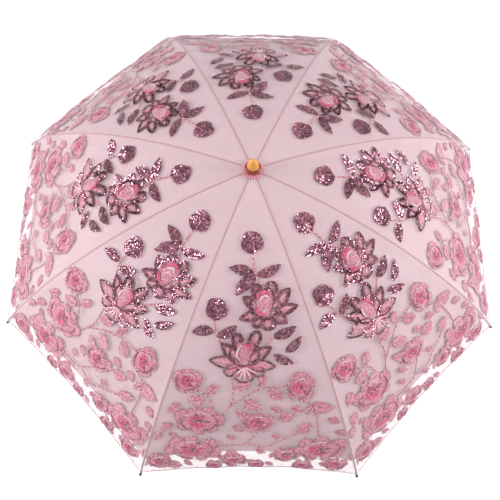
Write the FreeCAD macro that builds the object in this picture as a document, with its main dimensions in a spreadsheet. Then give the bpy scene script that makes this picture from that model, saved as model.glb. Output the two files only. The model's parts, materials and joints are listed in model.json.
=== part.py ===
import FreeCAD, Part

import math
import os

import Sketcher

os.makedirs("parts", exist_ok=True)

Vector = FreeCAD.Vector
Rotation = FreeCAD.Rotation
Placement = FreeCAD.Placement
UP = Vector(0, 0, 1)

doc = FreeCAD.newDocument("LaceParasol")

# Driving sizes, in millimetres and degrees. The origin is the middle of the grip, with +Z up the shaft.
DRIVING = {
    # Frame: the rib is one circular arc, and the closed frame clears the handle.
    "rib_count": 8,
    "rib_bend_radius": 610,
    "rib_root_slope": 6,
    "canopy_radius": 430,
    "rib_wire_diameter": 3,
    "rib_wire_start": 9,
    "rib_root_rise": 3.5,
    "pivot_circle_radius": 12,
    "blade_thickness": 1.4,
    "blade_clearance": 0.2,
    "blade_reach": 15,
    "eye_radius": 2.2,
    "ring_wire_diameter": 1.1,
    "pin_clearance": 0.05,
    "stretcher_place": 200,
    "lug_depth": 4.5,
    "lug_half_length": 4,
    "stretcher_height": 3.6,
    "stretcher_ear": 0.8,
    "fork_depth": 9,
    "rivet_diameter": 1.6,
    "rivet_head_diameter": 2.8,
    "rivet_head_height": 0.6,
    "tip_ball_diameter": 5,
    "tip_socket_diameter": 4.2,
    "tip_socket_length": 6,
    # Shaft, crowns and runner.
    "shaft_diameter": 10,
    "shaft_wall": 0.8,
    "shaft_depth_in_grip": 60,
    "closed_tip_gap": 12,
    "closed_tip_radius": 14,
    "crown_radius": 15,
    "crown_above_pivot": 2.5,
    "crown_below_pivot": 4,
    "crown_neck_radius": 8,
    "crown_neck_length": 6,
    "slot_floor_radius": 9,
    "runner_bore_clearance": 0.2,
    "runner_wall": 1.8,
    "runner_length": 58,
    "runner_rim_radius": 10,
    "runner_rim_height": 5,
    "window_width": 3,
    "window_height": 9,
    "window_rise": 8,
    "stop_pin_diameter": 2,
    "stop_pin_stand_out": 2,
    # Spring catches in the shaft.
    "catch_thickness": 1.4,
    "catch_length": 32,
    "catch_stand_out": 2.6,
    "catch_nose_height": 14,
    "catch_leaf_width": 1.6,
    "catch_slot_clearance": 0.3,
    "catch_slot_headroom": 1,
    "catch_pin_diameter": 1.4,
    # Cover, ruffle and finial.
    "cover_gap": 0.3,
    "cover_thickness": 1,
    "seam_gap": 0.3,
    "cover_inner_radius": 8,
    "hem_sag": 13,
    "washer_radius": 8.5,
    "ruffle_radius": 15,
    "ruffle_thickness": 1.6,
    "ruffle_rise": 2,
    "collar_radius": 11.3,
    "collar_height": 4.5,
    "finial_radius": 8.4,
    "finial_neck_radius": 6.4,
    "finial_height": 20,
    "finial_socket_depth": 9,
    # Handle.
    "grip_radius": 12,
    "grip_length": 140,
    "grip_straight_length": 110,
    "grip_end_radius": 10.5,
    "ferrule_radius": 11.2,
    "ferrule_length": 12,
    "knob_radius": 11.8,
    "knob_neck_radius": 8,
    "knob_length": 24,
}


def make_sheet():
    """Write the driving sizes into a spreadsheet, one alias to each."""
    sheet = doc.addObject("Spreadsheet::Sheet", "Sizes")
    for row, (name, value) in enumerate(DRIVING.items(), start=1):
        sheet.set(f"A{row}", name)
        sheet.set(f"B{row}", str(value))
        sheet.setAlias(f"B{row}", name)
    doc.recompute()
    return sheet


SHEET = make_sheet()


def size(name):
    """A driving size, read back from the sheet."""
    return float(getattr(SHEET, name))


def cells(text):
    """An expression over the sheet: every alias in the text becomes a cell of Sizes."""
    words = sorted(DRIVING, key=len, reverse=True)
    out, i = "", 0
    while i < len(text):
        word = next((w for w in words if text.startswith(w, i)), None)
        if word is None:
            out += text[i]
            i += 1
            continue
        out += "Sizes." + word
        i += len(word)
    return out


# ---- Worked-out places ---------------------------------------------------------------------------

RIB_STEP = 360 / size("rib_count")
ROOT_SLOPE = math.radians(size("rib_root_slope"))
BEND = size("rib_bend_radius")
PIVOT_R = size("pivot_circle_radius")
RISE = size("rib_root_rise")


def rib_angle_at(radius):
    """Angle that the rib's arc has turned through at this distance from the shaft's axis."""
    return math.asin(math.sin(ROOT_SLOPE) + (radius - PIVOT_R) / BEND) - ROOT_SLOPE


def rib_point(turn, inward=0.0):
    """Point on the rib in its own plane: x outward from the pivot, z up; inward is towards the arc's centre."""
    slope = ROOT_SLOPE + turn
    reach = BEND - inward
    x = reach * math.sin(slope) - BEND * math.sin(ROOT_SLOPE)
    z = RISE + reach * math.cos(slope) - BEND * math.cos(ROOT_SLOPE)
    return Vector(x, 0, z)


RIB_TURN = rib_angle_at(size("canopy_radius"))
START_TURN = size("rib_wire_start") / BEND
LUG_TURN = size("stretcher_place") / BEND
LUG = rib_point(LUG_TURN, size("lug_depth"))
LINK = LUG.Length
OPEN_ANGLE = math.atan2(-LUG.z, LUG.x)
RUNNER_DROP = 2 * LINK * math.sin(OPEN_ANGLE)

TIP = rib_point(RIB_TURN)
COVER_TURN = RIB_TURN - (size("tip_socket_length") + size("cover_gap")) / BEND
TIP_REACH = math.hypot(TIP.x, TIP.z)
TIP_ANGLE = math.atan2(-TIP.z, TIP.x)
FOLD = math.acos((size("closed_tip_radius") - PIVOT_R) / TIP_REACH) - TIP_ANGLE

GRIP_TOP = size("grip_length") / 2
FERRULE_TOP = GRIP_TOP + size("ferrule_length")
PIVOT_Z = FERRULE_TOP + size("closed_tip_gap") + size("tip_ball_diameter") / 2 + TIP_REACH
RUNNER_Z = PIVOT_Z - RUNNER_DROP
SHAFT_FOOT = GRIP_TOP - size("shaft_depth_in_grip")
SHAFT_R = size("shaft_diameter") / 2

COVER_TOP = PIVOT_Z + RISE + size("rib_wire_diameter") / 2 + size("cover_gap") + size("cover_thickness")
RUFFLE_Z = COVER_TOP + size("cover_gap") + 0.7
COLLAR_Z = RUFFLE_Z + size("ruffle_thickness") + size("ruffle_rise")
FINIAL_Z = COLLAR_Z + size("collar_height")
SHAFT_TOP = FINIAL_Z + size("finial_socket_depth")

RUNNER_FOOT = RUNNER_Z - size("crown_below_pivot") - size("crown_neck_length") - size("runner_length")
TOP_LEDGE_Z = RUNNER_FOOT - 0.3
CLOSED_RUNNER_FOOT = RUNNER_FOOT - 2 * LINK * math.sin(OPEN_ANGLE + FOLD) + RUNNER_DROP
LOWER_LEDGE_Z = CLOSED_RUNNER_FOOT + size("window_rise") + 0.3


# ---- Building blocks -----------------------------------------------------------------------------


def new_body(label, placement=None):
    """A PartDesign body that becomes one node."""
    body = doc.addObject("PartDesign::Body", label)
    body.Label = label
    body.Placement = placement or Placement()
    return body


def new_sketch(body, role, offset=None):
    """A sketch on one of the body's own origin planes."""
    plane = next(f for f in body.Origin.OriginFeatures if f.Role == role)
    sketch = body.newObject("Sketcher::SketchObject", body.Name + "_sketch")
    sketch.AttachmentSupport = [(plane, "")]
    sketch.MapMode = "FlatFace"
    if offset is not None:
        sketch.AttachmentOffset = offset
    return sketch


def add_polygon(sketch, corners):
    """A closed outline whose corners are pairs of expressions over the sheet."""
    corners = [(cells(x), cells(y)) for x, y in corners]
    points = [Vector(sketch.evalExpression(x), sketch.evalExpression(y), 0) for x, y in corners]
    first = sketch.GeometryCount
    total = len(points)
    for i in range(total):
        sketch.addGeometry(Part.LineSegment(points[i], points[(i + 1) % total]))
    for i in range(total):
        here, after = first + i, first + (i + 1) % total
        sketch.addConstraint(Sketcher.Constraint("Coincident", here, 2, after, 1))
    for i, (x, y) in enumerate(corners):
        across = sketch.addConstraint(Sketcher.Constraint("DistanceX", first + i, 1, points[i].x))
        sketch.setExpression(f"Constraints[{across}]", x)
        up = sketch.addConstraint(Sketcher.Constraint("DistanceY", first + i, 1, points[i].y))
        sketch.setExpression(f"Constraints[{up}]", y)


def add_circle(sketch, x, y, radius):
    """A circle whose centre and radius are expressions over the sheet."""
    x, y, radius = cells(x), cells(y), cells(radius)
    centre = Vector(sketch.evalExpression(x), sketch.evalExpression(y), 0)
    value = float(sketch.evalExpression(radius))
    ring = sketch.addGeometry(Part.Circle(centre, UP, value))
    for kind, text, at in (("DistanceX", x, centre.x), ("DistanceY", y, centre.y)):
        number = sketch.addConstraint(Sketcher.Constraint(kind, ring, 3, at))
        sketch.setExpression(f"Constraints[{number}]", text)
    number = sketch.addConstraint(Sketcher.Constraint("Radius", ring, value))
    sketch.setExpression(f"Constraints[{number}]", radius)


def add_pad(body, sketch, length, symmetric=True):
    """A pad of this length, given as an expression."""
    pad = body.newObject("PartDesign::Pad", body.Name + "_pad")
    pad.Profile = sketch
    pad.SideType = "Symmetric" if symmetric else "One side"
    pad.setExpression("Length", cells(length))
    body.Tip = pad
    return pad


def add_pocket(body, sketch, length):
    """A pocket cut the same way on both sides of its sketch."""
    pocket = body.newObject("PartDesign::Pocket", body.Name + "_pocket")
    pocket.Profile = sketch
    pocket.SideType = "Symmetric"
    pocket.setExpression("Length", cells(length))
    body.Tip = pocket
    return pocket


def add_turn(body, sketch, kind="PartDesign::Revolution", axis="V_Axis", angle=360.0):
    """A revolution or groove about one of the sketch's own axes."""
    turned = body.newObject(kind, body.Name + "_turn")
    turned.Profile = sketch
    turned.ReferenceAxis = (sketch, [axis])
    turned.Angle = angle
    body.Tip = turned
    return turned


def add_polar(body, feature, count):
    """The feature repeated evenly round the body's Z axis."""
    axis = next(f for f in body.Origin.OriginFeatures if f.Role == "Z_Axis")
    pattern = body.newObject("PartDesign::PolarPattern", body.Name + "_pattern")
    pattern.Originals = [feature]
    pattern.Axis = (axis, [""])
    pattern.Angle = 360
    pattern.setExpression("Occurrences", cells(count))
    body.Tip = pattern
    return pattern


def turned_body(label, corners, height=0.0):
    """A body turned about Z from an outline in its XZ plane, set at this height."""
    body = new_body(label, Placement(Vector(0, 0, height), Rotation()))
    sketch = new_sketch(body, "XZ_Plane")
    add_polygon(sketch, corners)
    add_turn(body, sketch)
    return body


def rib_azimuth(index):
    """Azimuth of rib 1, 2, … in degrees; a gore, not a rib, faces -Y."""
    return -90 - RIB_STEP / 2 + RIB_STEP * (index - 1)


def in_rib_plane(index, x, z):
    """Placement whose X runs outward along a rib's azimuth, at x from the shaft's axis and at height z."""
    turn = Rotation(UP, rib_azimuth(index))
    return Placement(turn.multVec(Vector(x, 0, 0)) + Vector(0, 0, z), turn)


def tilted(local, slope):
    """Offset of an XZ-plane sketch to a point of the rib plane, with its X axis along a downward slope."""
    return Placement(Vector(local.x, local.z, 0), Rotation(UP, -math.degrees(slope)))


# ---- Shaft and what is fixed to it ---------------------------------------------------------------


def make_shaft():
    body = new_body("shaft_tube", Placement(Vector(0, 0, SHAFT_FOOT), Rotation()))
    sketch = new_sketch(body, "XY_Plane")
    add_circle(sketch, "0", "0", "shaft_diameter / 2")
    add_circle(sketch, "0", "0", "shaft_diameter / 2 - shaft_wall")
    pad = add_pad(body, sketch, "1", symmetric=False)
    pad.setExpression("Length", None)
    pad.Length = SHAFT_TOP - SHAFT_FOOT
    for ledge, side in ((TOP_LEDGE_Z, -1), (LOWER_LEDGE_Z, 1)):
        cut_catch_slot(body, ledge - SHAFT_FOOT, side)
    for place in catch_pin_heights():
        cut_cross_hole(body, place - SHAFT_FOOT, "catch_pin_diameter / 2")
    cut_cross_hole(body, stop_pin_height() - SHAFT_FOOT, "stop_pin_diameter / 2")


def cut_catch_slot(body, ledge, side):
    """The slot in the -Y wall that a catch's nose comes out of; side is where the leaf lies from its ledge."""
    sketch = new_sketch(body, "XZ_Plane", Placement(Vector(0, ledge, SHAFT_R), Rotation()))
    half = "(catch_thickness / 2 + catch_slot_clearance)"
    near, far = ("catch_slot_headroom", "-catch_nose_height - 3 * catch_slot_clearance")
    if side > 0:
        near, far = ("-catch_slot_headroom", "catch_nose_height + 3 * catch_slot_clearance")
    add_polygon(sketch, [("-" + half, near), (half, near), (half, far), ("-" + half, far)])
    add_pocket(body, sketch, "shaft_diameter")


def cut_cross_hole(body, place, radius):
    """A round hole across the shaft, along X, at this height."""
    sketch = new_sketch(body, "YZ_Plane", Placement(Vector(0, place, 0), Rotation()))
    add_circle(sketch, "0", "0", radius)
    add_pocket(body, sketch, "2 * shaft_diameter")


def catch_pin_heights():
    return (TOP_LEDGE_Z - size("catch_length"), LOWER_LEDGE_Z + size("catch_length"))


def stop_pin_height():
    return RUNNER_Z + size("crown_above_pivot") + size("stop_pin_diameter") / 2 + 0.4


def make_catch(label, ledge, side):
    """A spring leaf with a wedge nose; its ledge is level with the body's origin and its eye at the far end."""
    turn = Rotation(UP, -90)
    body = new_body(label, Placement(Vector(0, 0, ledge), turn))
    sketch = new_sketch(body, "XZ_Plane")
    way = "-" if side < 0 else ""
    outer = "(shaft_diameter / 2 + catch_stand_out)"
    inner = "(shaft_diameter / 2 - shaft_wall - catch_leaf_width)"
    add_polygon(
        sketch,
        [
            (inner + " - 0.6", way + "0"),
            (outer, way + "0"),
            (outer, way + "2"),
            (inner + " + catch_leaf_width * 0.9", way + "catch_nose_height"),
            ("catch_leaf_width", way + "catch_length"),
            ("0", way + "catch_length"),
            (inner + " - 0.6", way + "catch_nose_height"),
        ],
    )
    add_pad(body, sketch, "catch_thickness")
    eye = new_sketch(body, "XZ_Plane")
    add_circle(eye, "0", way + "catch_length", "catch_pin_diameter / 2 + catch_leaf_width / 2 + 0.2")
    add_pad(body, eye, "catch_thickness")
    hole = new_sketch(body, "XZ_Plane")
    add_circle(hole, "0", way + "catch_length", "catch_pin_diameter / 2 + pin_clearance")
    add_pocket(body, hole, "4 * catch_thickness")


def make_cross_pin(label, height, diameter, length):
    """A pin across the shaft, along X, as long as the given expression."""
    body = new_body(label, Placement(Vector(0, 0, height), Rotation()))
    sketch = new_sketch(body, "YZ_Plane")
    add_circle(sketch, "0", "0", diameter + " / 2")
    add_pad(body, sketch, length)


def make_crown(label, height, below):
    """A slotted crown: eight blades hang in its slots on a wire ring that lies in its groove."""
    corners = [
        ("shaft_diameter / 2 + " + below, "-crown_below_pivot - crown_neck_length"),
        ("crown_neck_radius", "-crown_below_pivot - crown_neck_length"),
        ("crown_neck_radius", "-crown_below_pivot"),
        ("crown_radius - 1", "-crown_below_pivot"),
        ("crown_radius", "1 - crown_below_pivot"),
        ("crown_radius", "crown_above_pivot - 0.8"),
        ("crown_radius - 0.8", "crown_above_pivot"),
        ("shaft_diameter / 2 + " + below, "crown_above_pivot"),
    ]
    body = turned_body(label, corners, height)
    groove = new_sketch(body, "XZ_Plane")
    depth = "pivot_circle_radius - ring_wire_diameter / 2 - pin_clearance"
    half = "(ring_wire_diameter / 2 + pin_clearance)"
    add_polygon(
        groove,
        [(depth, "-" + half), ("crown_radius + 1", "-" + half), ("crown_radius + 1", half), (depth, half)],
    )
    add_turn(body, groove, "PartDesign::Groove")
    slot = new_sketch(body, "XY_Plane")
    side = "(blade_thickness / 2 + blade_clearance)"
    far = "crown_radius + 2"
    add_polygon(
        slot,
        [("slot_floor_radius", "-" + side), (far, "-" + side), (far, side), ("slot_floor_radius", side)],
    )
    pocket = add_pocket(body, slot, "4 * crown_radius")
    add_polar(body, pocket, "rib_count")
    body.Placement = Placement(Vector(0, 0, height), Rotation(UP, rib_azimuth(1)))


def make_ring_wire(label, height):
    ring = doc.addObject("Part::Torus", label)
    ring.Label = label
    ring.setExpression("Radius1", cells("pivot_circle_radius"))
    ring.setExpression("Radius2", cells("ring_wire_diameter / 2"))
    ring.Placement = Placement(Vector(0, 0, height), Rotation())


def make_washer():
    """The fabric washer between the top crown and the cover."""
    height = COVER_TOP - size("cover_thickness") - size("cover_gap") - PIVOT_Z - size("crown_above_pivot")
    body = new_body("crown_washer", Placement(Vector(0, 0, PIVOT_Z + size("crown_above_pivot")), Rotation()))
    sketch = new_sketch(body, "XY_Plane")
    add_circle(sketch, "0", "0", "shaft_diameter / 2")
    add_circle(sketch, "0", "0", "washer_radius")
    pad = add_pad(body, sketch, "1", symmetric=False)
    pad.setExpression("Length", None)
    pad.Length = height


def make_ruffle():
    """The gathered fabric ruffle that covers the cover's centre."""
    inner = "shaft_diameter / 2"
    corners = [
        (inner, "ruffle_rise * 0.5"),
        ("collar_radius", "ruffle_rise * 0.5"),
        ("ruffle_radius - 2", "0"),
        ("ruffle_radius", "-0.6"),
        ("ruffle_radius", "ruffle_thickness - 0.6"),
        ("ruffle_radius - 2", "ruffle_thickness + ruffle_rise * 0.7"),
        ("collar_radius", "ruffle_thickness + ruffle_rise"),
        (inner, "ruffle_thickness + ruffle_rise"),
    ]
    turned_body("canopy_ruffle", corners, RUFFLE_Z)


def make_collar():
    """The dark turned ring under the finial."""
    inner = "shaft_diameter / 2"
    corners = [
        (inner, "0"),
        ("collar_radius - 1.2", "0"),
        ("collar_radius", "collar_height * 0.3"),
        ("collar_radius", "collar_height * 0.6"),
        ("collar_radius - 1.6", "collar_height * 0.92"),
        ("finial_neck_radius + 0.6", "collar_height"),
        (inner, "collar_height"),
    ]
    turned_body("finial_collar", corners, COLLAR_Z)


def make_finial():
    """The pear-shaped cap, with a blind socket for the top of the shaft."""
    inner = "shaft_diameter / 2"
    corners = [
        (inner, "0"),
        ("finial_neck_radius", "0"),
        ("finial_radius - 0.6", "finial_height * 0.12"),
        ("finial_radius", "finial_height * 0.26"),
        ("finial_radius - 0.5", "finial_height * 0.42"),
        ("finial_radius * 0.78", "finial_height * 0.58"),
        ("finial_radius * 0.6", "finial_height * 0.74"),
        ("finial_radius * 0.5", "finial_height * 0.88"),
        ("finial_radius * 0.3", "finial_height * 0.97"),
        ("0", "finial_height"),
        ("0", "finial_socket_depth"),
        (inner, "finial_socket_depth"),
    ]
    turned_body("finial", corners, FINIAL_Z)


def make_handle():
    inner = "shaft_diameter / 2"
    straight = "grip_straight_length / 2"
    half = "grip_length / 2"
    floor = "(grip_length / 2 - shaft_depth_in_grip)"
    corners = [
        ("0", "-" + half),
        ("grip_end_radius", "-" + half),
        ("grip_radius", "-" + straight),
        ("grip_radius", straight),
        ("grip_end_radius", half),
        (inner, half),
        (inner, floor),
        ("0", floor),
    ]
    turned_body("handle_grip", corners)
    corners = [
        (inner, "0"),
        ("ferrule_radius - 0.6", "0"),
        ("ferrule_radius", "ferrule_length * 0.2"),
        ("ferrule_radius - 1.4", "ferrule_length * 0.4"),
        ("ferrule_radius - 2.4", "ferrule_length * 0.85"),
        ("ferrule_radius - 3.4", "ferrule_length"),
        (inner, "ferrule_length"),
    ]
    turned_body("handle_ferrule", corners, GRIP_TOP)
    corners = [
        ("0", "0"),
        ("0", "-knob_length"),
        ("knob_radius * 0.5", "-knob_length * 0.96"),
        ("knob_radius * 0.85", "-knob_length * 0.82"),
        ("knob_radius", "-knob_length * 0.58"),
        ("knob_radius * 0.88", "-knob_length * 0.34"),
        ("knob_neck_radius", "-knob_length * 0.16"),
        ("knob_neck_radius + 1.5", "0"),
    ]
    turned_body("handle_knob", corners, -GRIP_TOP)


# ---- Runner --------------------------------------------------------------------------------------


def make_runner():
    """The sleeve that slides on the shaft, with a window that the lower catch springs into."""
    bore = "shaft_diameter / 2 + runner_bore_clearance"
    wall = "shaft_diameter / 2 + runner_bore_clearance + runner_wall"
    corners = [
        (bore, "0"),
        ("runner_rim_radius - 0.8", "0"),
        ("runner_rim_radius", "0.8"),
        ("runner_rim_radius", "runner_rim_height - 0.8"),
        ("runner_rim_radius - 0.8", "runner_rim_height"),
        (wall, "runner_rim_height"),
        (wall, "runner_length"),
        (bore, "runner_length"),
    ]
    body = turned_body("runner_sleeve", corners, RUNNER_FOOT)
    window = new_sketch(body, "XZ_Plane", Placement(Vector(0, 0, SHAFT_R + 4), Rotation()))
    half = "window_width / 2"
    top = "window_rise + window_height"
    outline = [("-" + half, "window_rise"), (half, "window_rise"), (half, top), ("-" + half, top)]
    add_polygon(window, outline)
    add_pocket(body, window, "shaft_diameter")


# ---- Ribs and stretchers -------------------------------------------------------------------------


def make_rib(index):
    """A curved wire with a flat root that turns on the ring wire, and a lug for the stretcher."""
    body = new_body(f"rib_{index}", in_rib_plane(index, PIVOT_R, PIVOT_Z))
    centre = rib_point(0, BEND)
    turned = ROOT_SLOPE + START_TURN
    lean = Rotation(Vector(1, 0, 0), math.degrees(turned))
    wire = new_sketch(body, "YZ_Plane", Placement(Vector(0, centre.z, centre.x), lean))
    add_circle(wire, "0", "rib_bend_radius", "rib_wire_diameter / 2")
    add_turn(body, wire, axis="H_Axis", angle=math.degrees(RIB_TURN - START_TURN))

    blade = new_sketch(body, "XZ_Plane")
    reach = size("blade_reach")
    on_wire = rib_point(reach / BEND)
    drop = f"({RISE - on_wire.z:.6f})"
    add_polygon(
        blade,
        [
            ("-eye_radius", "0"),
            ("-eye_radius", "rib_root_rise + rib_wire_diameter / 3"),
            ("blade_reach", "rib_root_rise + rib_wire_diameter / 3 - " + drop),
            ("blade_reach", "rib_root_rise - rib_wire_diameter / 3 - " + drop),
            ("rib_wire_start", "rib_root_rise - rib_wire_diameter / 2 - " + drop),
            ("eye_radius", "0"),
        ],
    )
    add_pad(body, blade, "blade_thickness")
    eye = new_sketch(body, "XZ_Plane")
    add_circle(eye, "0", "0", "eye_radius")
    add_pad(body, eye, "blade_thickness")

    lug = new_sketch(body, "XZ_Plane", tilted(LUG, ROOT_SLOPE + LUG_TURN))
    add_polygon(
        lug,
        [
            ("-eye_radius", "0"),
            ("eye_radius", "0"),
            ("lug_half_length", "lug_depth"),
            ("-lug_half_length", "lug_depth"),
        ],
    )
    add_pad(body, lug, "blade_thickness")
    lug_eye = new_sketch(body, "XZ_Plane", tilted(LUG, 0))
    add_circle(lug_eye, "0", "0", "eye_radius")
    add_pad(body, lug_eye, "blade_thickness")
    lug_hole = new_sketch(body, "XZ_Plane", tilted(LUG, 0))
    add_circle(lug_hole, "0", "0", "rivet_diameter / 2 + pin_clearance")
    add_pocket(body, lug_hole, "4 * blade_thickness")
    root_hole = new_sketch(body, "XZ_Plane")
    add_circle(root_hole, "0", "0", "ring_wire_diameter / 2 + 2 * pin_clearance")
    add_pocket(body, root_hole, "4 * blade_thickness")


def make_rib_tip(index):
    """The black ball on the rib's end, with a socket for the wire."""
    slope = ROOT_SLOPE + RIB_TURN
    at = in_rib_plane(index, PIVOT_R + TIP.x, PIVOT_Z + TIP.z)
    along = Rotation(Vector(0, 1, 0), 90 + math.degrees(slope))
    body = new_body(f"rib_tip_{index}", Placement(at.Base, at.Rotation.multiply(along)))
    socket = new_sketch(body, "XY_Plane")
    add_circle(socket, "0", "0", "tip_socket_diameter / 2")
    sleeve = add_pad(body, socket, "tip_socket_length", symmetric=False)
    sleeve.Reversed = True
    plane = next(f for f in body.Origin.OriginFeatures if f.Role == "XY_Plane")
    ball = body.newObject("PartDesign::AdditiveSphere", body.Name + "_ball")
    ball.setExpression("Radius", cells("tip_ball_diameter / 2"))
    ball.AttachmentSupport = [(plane, "")]
    ball.MapMode = "FlatFace"
    ball.setExpression("AttachmentOffset.Base.z", cells("tip_ball_diameter / 2 - 0.6"))
    body.Tip = ball
    bore = new_sketch(body, "XY_Plane")
    add_circle(bore, "0", "0", "rib_wire_diameter / 2 + pin_clearance")
    hole = add_pocket(body, bore, "2 * tip_socket_length")
    hole.SideType = "One side"


def make_stretcher(index):
    """A flat link: an eye in the runner's crown at one end, a fork round the rib's lug at the other."""
    at = in_rib_plane(index, PIVOT_R, RUNNER_Z)
    lean = Rotation(Vector(0, 1, 0), -math.degrees(OPEN_ANGLE))
    body = new_body(f"stretcher_{index}", Placement(at.Base, at.Rotation.multiply(lean)))
    width = "(blade_thickness + 2 * blade_clearance + 2 * stretcher_ear)"
    half = "stretcher_height / 2"
    outline = new_sketch(body, "XZ_Plane")
    link = f"{LINK:.6f}"
    add_polygon(outline, [("blade_reach", "-" + half), (link, "-" + half), (link, half), ("blade_reach", half)])
    add_pad(body, outline, width)
    fork_end = new_sketch(body, "XZ_Plane")
    add_circle(fork_end, link, "0", half)
    add_pad(body, fork_end, width)
    fork = new_sketch(body, "XY_Plane")
    side = "(blade_thickness / 2 + blade_clearance)"
    near, far = link + " - fork_depth", link + " + stretcher_height"
    add_polygon(fork, [(near, "-" + side), (far, "-" + side), (far, side), (near, side)])
    add_pocket(body, fork, "4 * stretcher_height")
    blade = new_sketch(body, "XZ_Plane")
    reach = "blade_reach + 2"
    add_polygon(blade, [("0", "-" + half), (reach, "-" + half), (reach, half), ("0", half)])
    add_pad(body, blade, "blade_thickness")
    eye = new_sketch(body, "XZ_Plane")
    add_circle(eye, "0", "0", half)
    add_pad(body, eye, "blade_thickness")
    holes = new_sketch(body, "XZ_Plane")
    add_circle(holes, "0", "0", "ring_wire_diameter / 2 + 2 * pin_clearance")
    add_circle(holes, link, "0", "rivet_diameter / 2")
    add_pocket(body, holes, "2 * " + width)


def make_rivet(index):
    """The headed rivet through the fork and the rib's lug."""
    at = in_rib_plane(index, PIVOT_R + LUG.x, PIVOT_Z + LUG.z)
    lying = Rotation(Vector(1, 0, 0), 90)
    body = new_body(f"stretcher_rivet_{index}", Placement(at.Base, at.Rotation.multiply(lying)))
    half = "(blade_thickness / 2 + blade_clearance + stretcher_ear)"
    top = half + " + rivet_head_height"
    sketch = new_sketch(body, "XZ_Plane")
    add_polygon(
        sketch,
        [
            ("0", "-" + half + " - rivet_head_height"),
            ("rivet_head_diameter / 4", "-" + half + " - rivet_head_height"),
            ("rivet_head_diameter / 2", "-" + half),
            ("rivet_diameter / 2", "-" + half),
            ("rivet_diameter / 2", half),
            ("rivet_head_diameter / 2", half),
            ("rivet_head_diameter / 4", top),
            ("0", top),
        ],
    )
    add_turn(body, sketch)


# ---- Cover ---------------------------------------------------------------------------------------


def gore_section():
    """The cover's section in a rib's vertical plane: a strip that runs above the rib from centre to hem."""
    inner = BEND + size("rib_wire_diameter") / 2 + size("cover_gap")
    outer = inner + size("cover_thickness")
    centre = Vector(PIVOT_R, 0, 0) + rib_point(0, BEND)
    turns = (ROOT_SLOPE * 0.2, ROOT_SLOPE + RIB_TURN / 2, ROOT_SLOPE + RIB_TURN + 0.05)

    def arc(reach, order):
        ends = [centre + Vector(reach * math.sin(t), 0, reach * math.cos(t)) for t in order]
        return Part.Arc(*ends).toShape(), ends[0], ends[2]

    top, top_start, top_end = arc(outer, turns)
    bottom, bottom_start, bottom_end = arc(inner, turns[::-1])
    edges = [top, Part.makeLine(top_end, bottom_start), bottom, Part.makeLine(bottom_end, top_start)]
    return Part.Face(Part.Wire(edges))


def gore_plan():
    """The cover's outline from above, with X along the gore's middle: two seams, the hem and the centre."""
    half = math.radians(RIB_STEP / 2)
    edge = size("seam_gap") / 2
    inward = Vector(math.sin(half), math.cos(half), 0) * edge

    def corner(radius, side):
        point = Vector(radius * math.cos(half), -radius * math.sin(half), 0) + inward
        return Vector(point.x, point.y * -side, 0)

    inner, outer = size("cover_inner_radius"), PIVOT_R + rib_point(COVER_TURN).x
    middle = outer * math.cos(half) - size("hem_sag")
    low_in, low_out = corner(inner, -1), corner(outer, -1)
    high_in, high_out = corner(inner, 1), corner(outer, 1)
    hem = Part.Arc(low_out, Vector(middle, 0, 0), high_out).toShape()
    centre = Part.Arc(high_in, Vector(inner, 0, 0), low_in).toShape()
    edges = [Part.makeLine(low_in, low_out), hem, Part.makeLine(high_out, high_in), centre]
    return Part.Face(Part.Wire(edges))


def gore_shape():
    """One gore: its section is drawn straight across from rib to rib and trimmed to its outline."""
    half = RIB_STEP / 2
    section = gore_section()
    section.rotate(Vector(0, 0, 0), UP, -half)
    width = 2 * size("canopy_radius")
    section.translate(Vector(0, -0.1 * width, 0))
    sheet = section.extrude(Vector(0, 1.2 * width, 0))
    depth = 2 * size("canopy_radius")
    plan = gore_plan()
    plan.translate(Vector(0, 0, -depth))
    column = plan.extrude(Vector(0, 0, 1.5 * depth))
    return sheet.common(column)


def make_gore(index, shape):
    gore = doc.addObject("Part::Feature", f"gore_{index}")
    gore.Label = f"gore_{index}"
    gore.Shape = shape
    turn = Rotation(UP, rib_azimuth(index) + RIB_STEP / 2)
    gore.Placement = Placement(Vector(0, 0, PIVOT_Z), turn)


# ---- The whole parasol ---------------------------------------------------------------------------


def make_parasol():
    make_shaft()
    make_crown("top_crown", PIVOT_Z, "0")
    make_ring_wire("top_crown_wire", PIVOT_Z)
    make_washer()
    make_ruffle()
    make_collar()
    make_finial()
    make_handle()
    make_runner()
    make_crown("runner_crown", RUNNER_Z, "runner_bore_clearance")
    make_ring_wire("runner_crown_wire", RUNNER_Z)
    top_pin, lower_pin = catch_pin_heights()
    make_catch("top_catch", TOP_LEDGE_Z, -1)
    make_catch("lower_catch", LOWER_LEDGE_Z, 1)
    make_cross_pin("top_catch_pin", top_pin, "catch_pin_diameter", "shaft_diameter")
    make_cross_pin("lower_catch_pin", lower_pin, "catch_pin_diameter", "shaft_diameter")
    stop_length = "shaft_diameter + 2 * stop_pin_stand_out"
    make_cross_pin("stop_pin", stop_pin_height(), "stop_pin_diameter", stop_length)
    gore = gore_shape()
    for index in range(1, int(size("rib_count")) + 1):
        make_rib(index)
        make_rib_tip(index)
        make_stretcher(index)
        make_rivet(index)
        make_gore(index, gore)


def nodes():
    """The document's finished pieces."""
    kinds = ("PartDesign::Body", "Part::Torus", "Part::Feature")
    return [o for o in doc.Objects if o.TypeId in kinds]


def check_and_export():
    bad = [o.Name for o in doc.Objects if {"Invalid", "Error"} & set(o.State)]
    for node in nodes():
        shape = node.Shape
        if shape.isNull() or not shape.isValid() or len(shape.Solids) != 1:
            bad.append(node.Label)
    if bad:
        raise RuntimeError("not built: " + ", ".join(bad))
    for node in nodes():
        node.Shape.exportStep(f"parts/{node.Label}.step")


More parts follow.
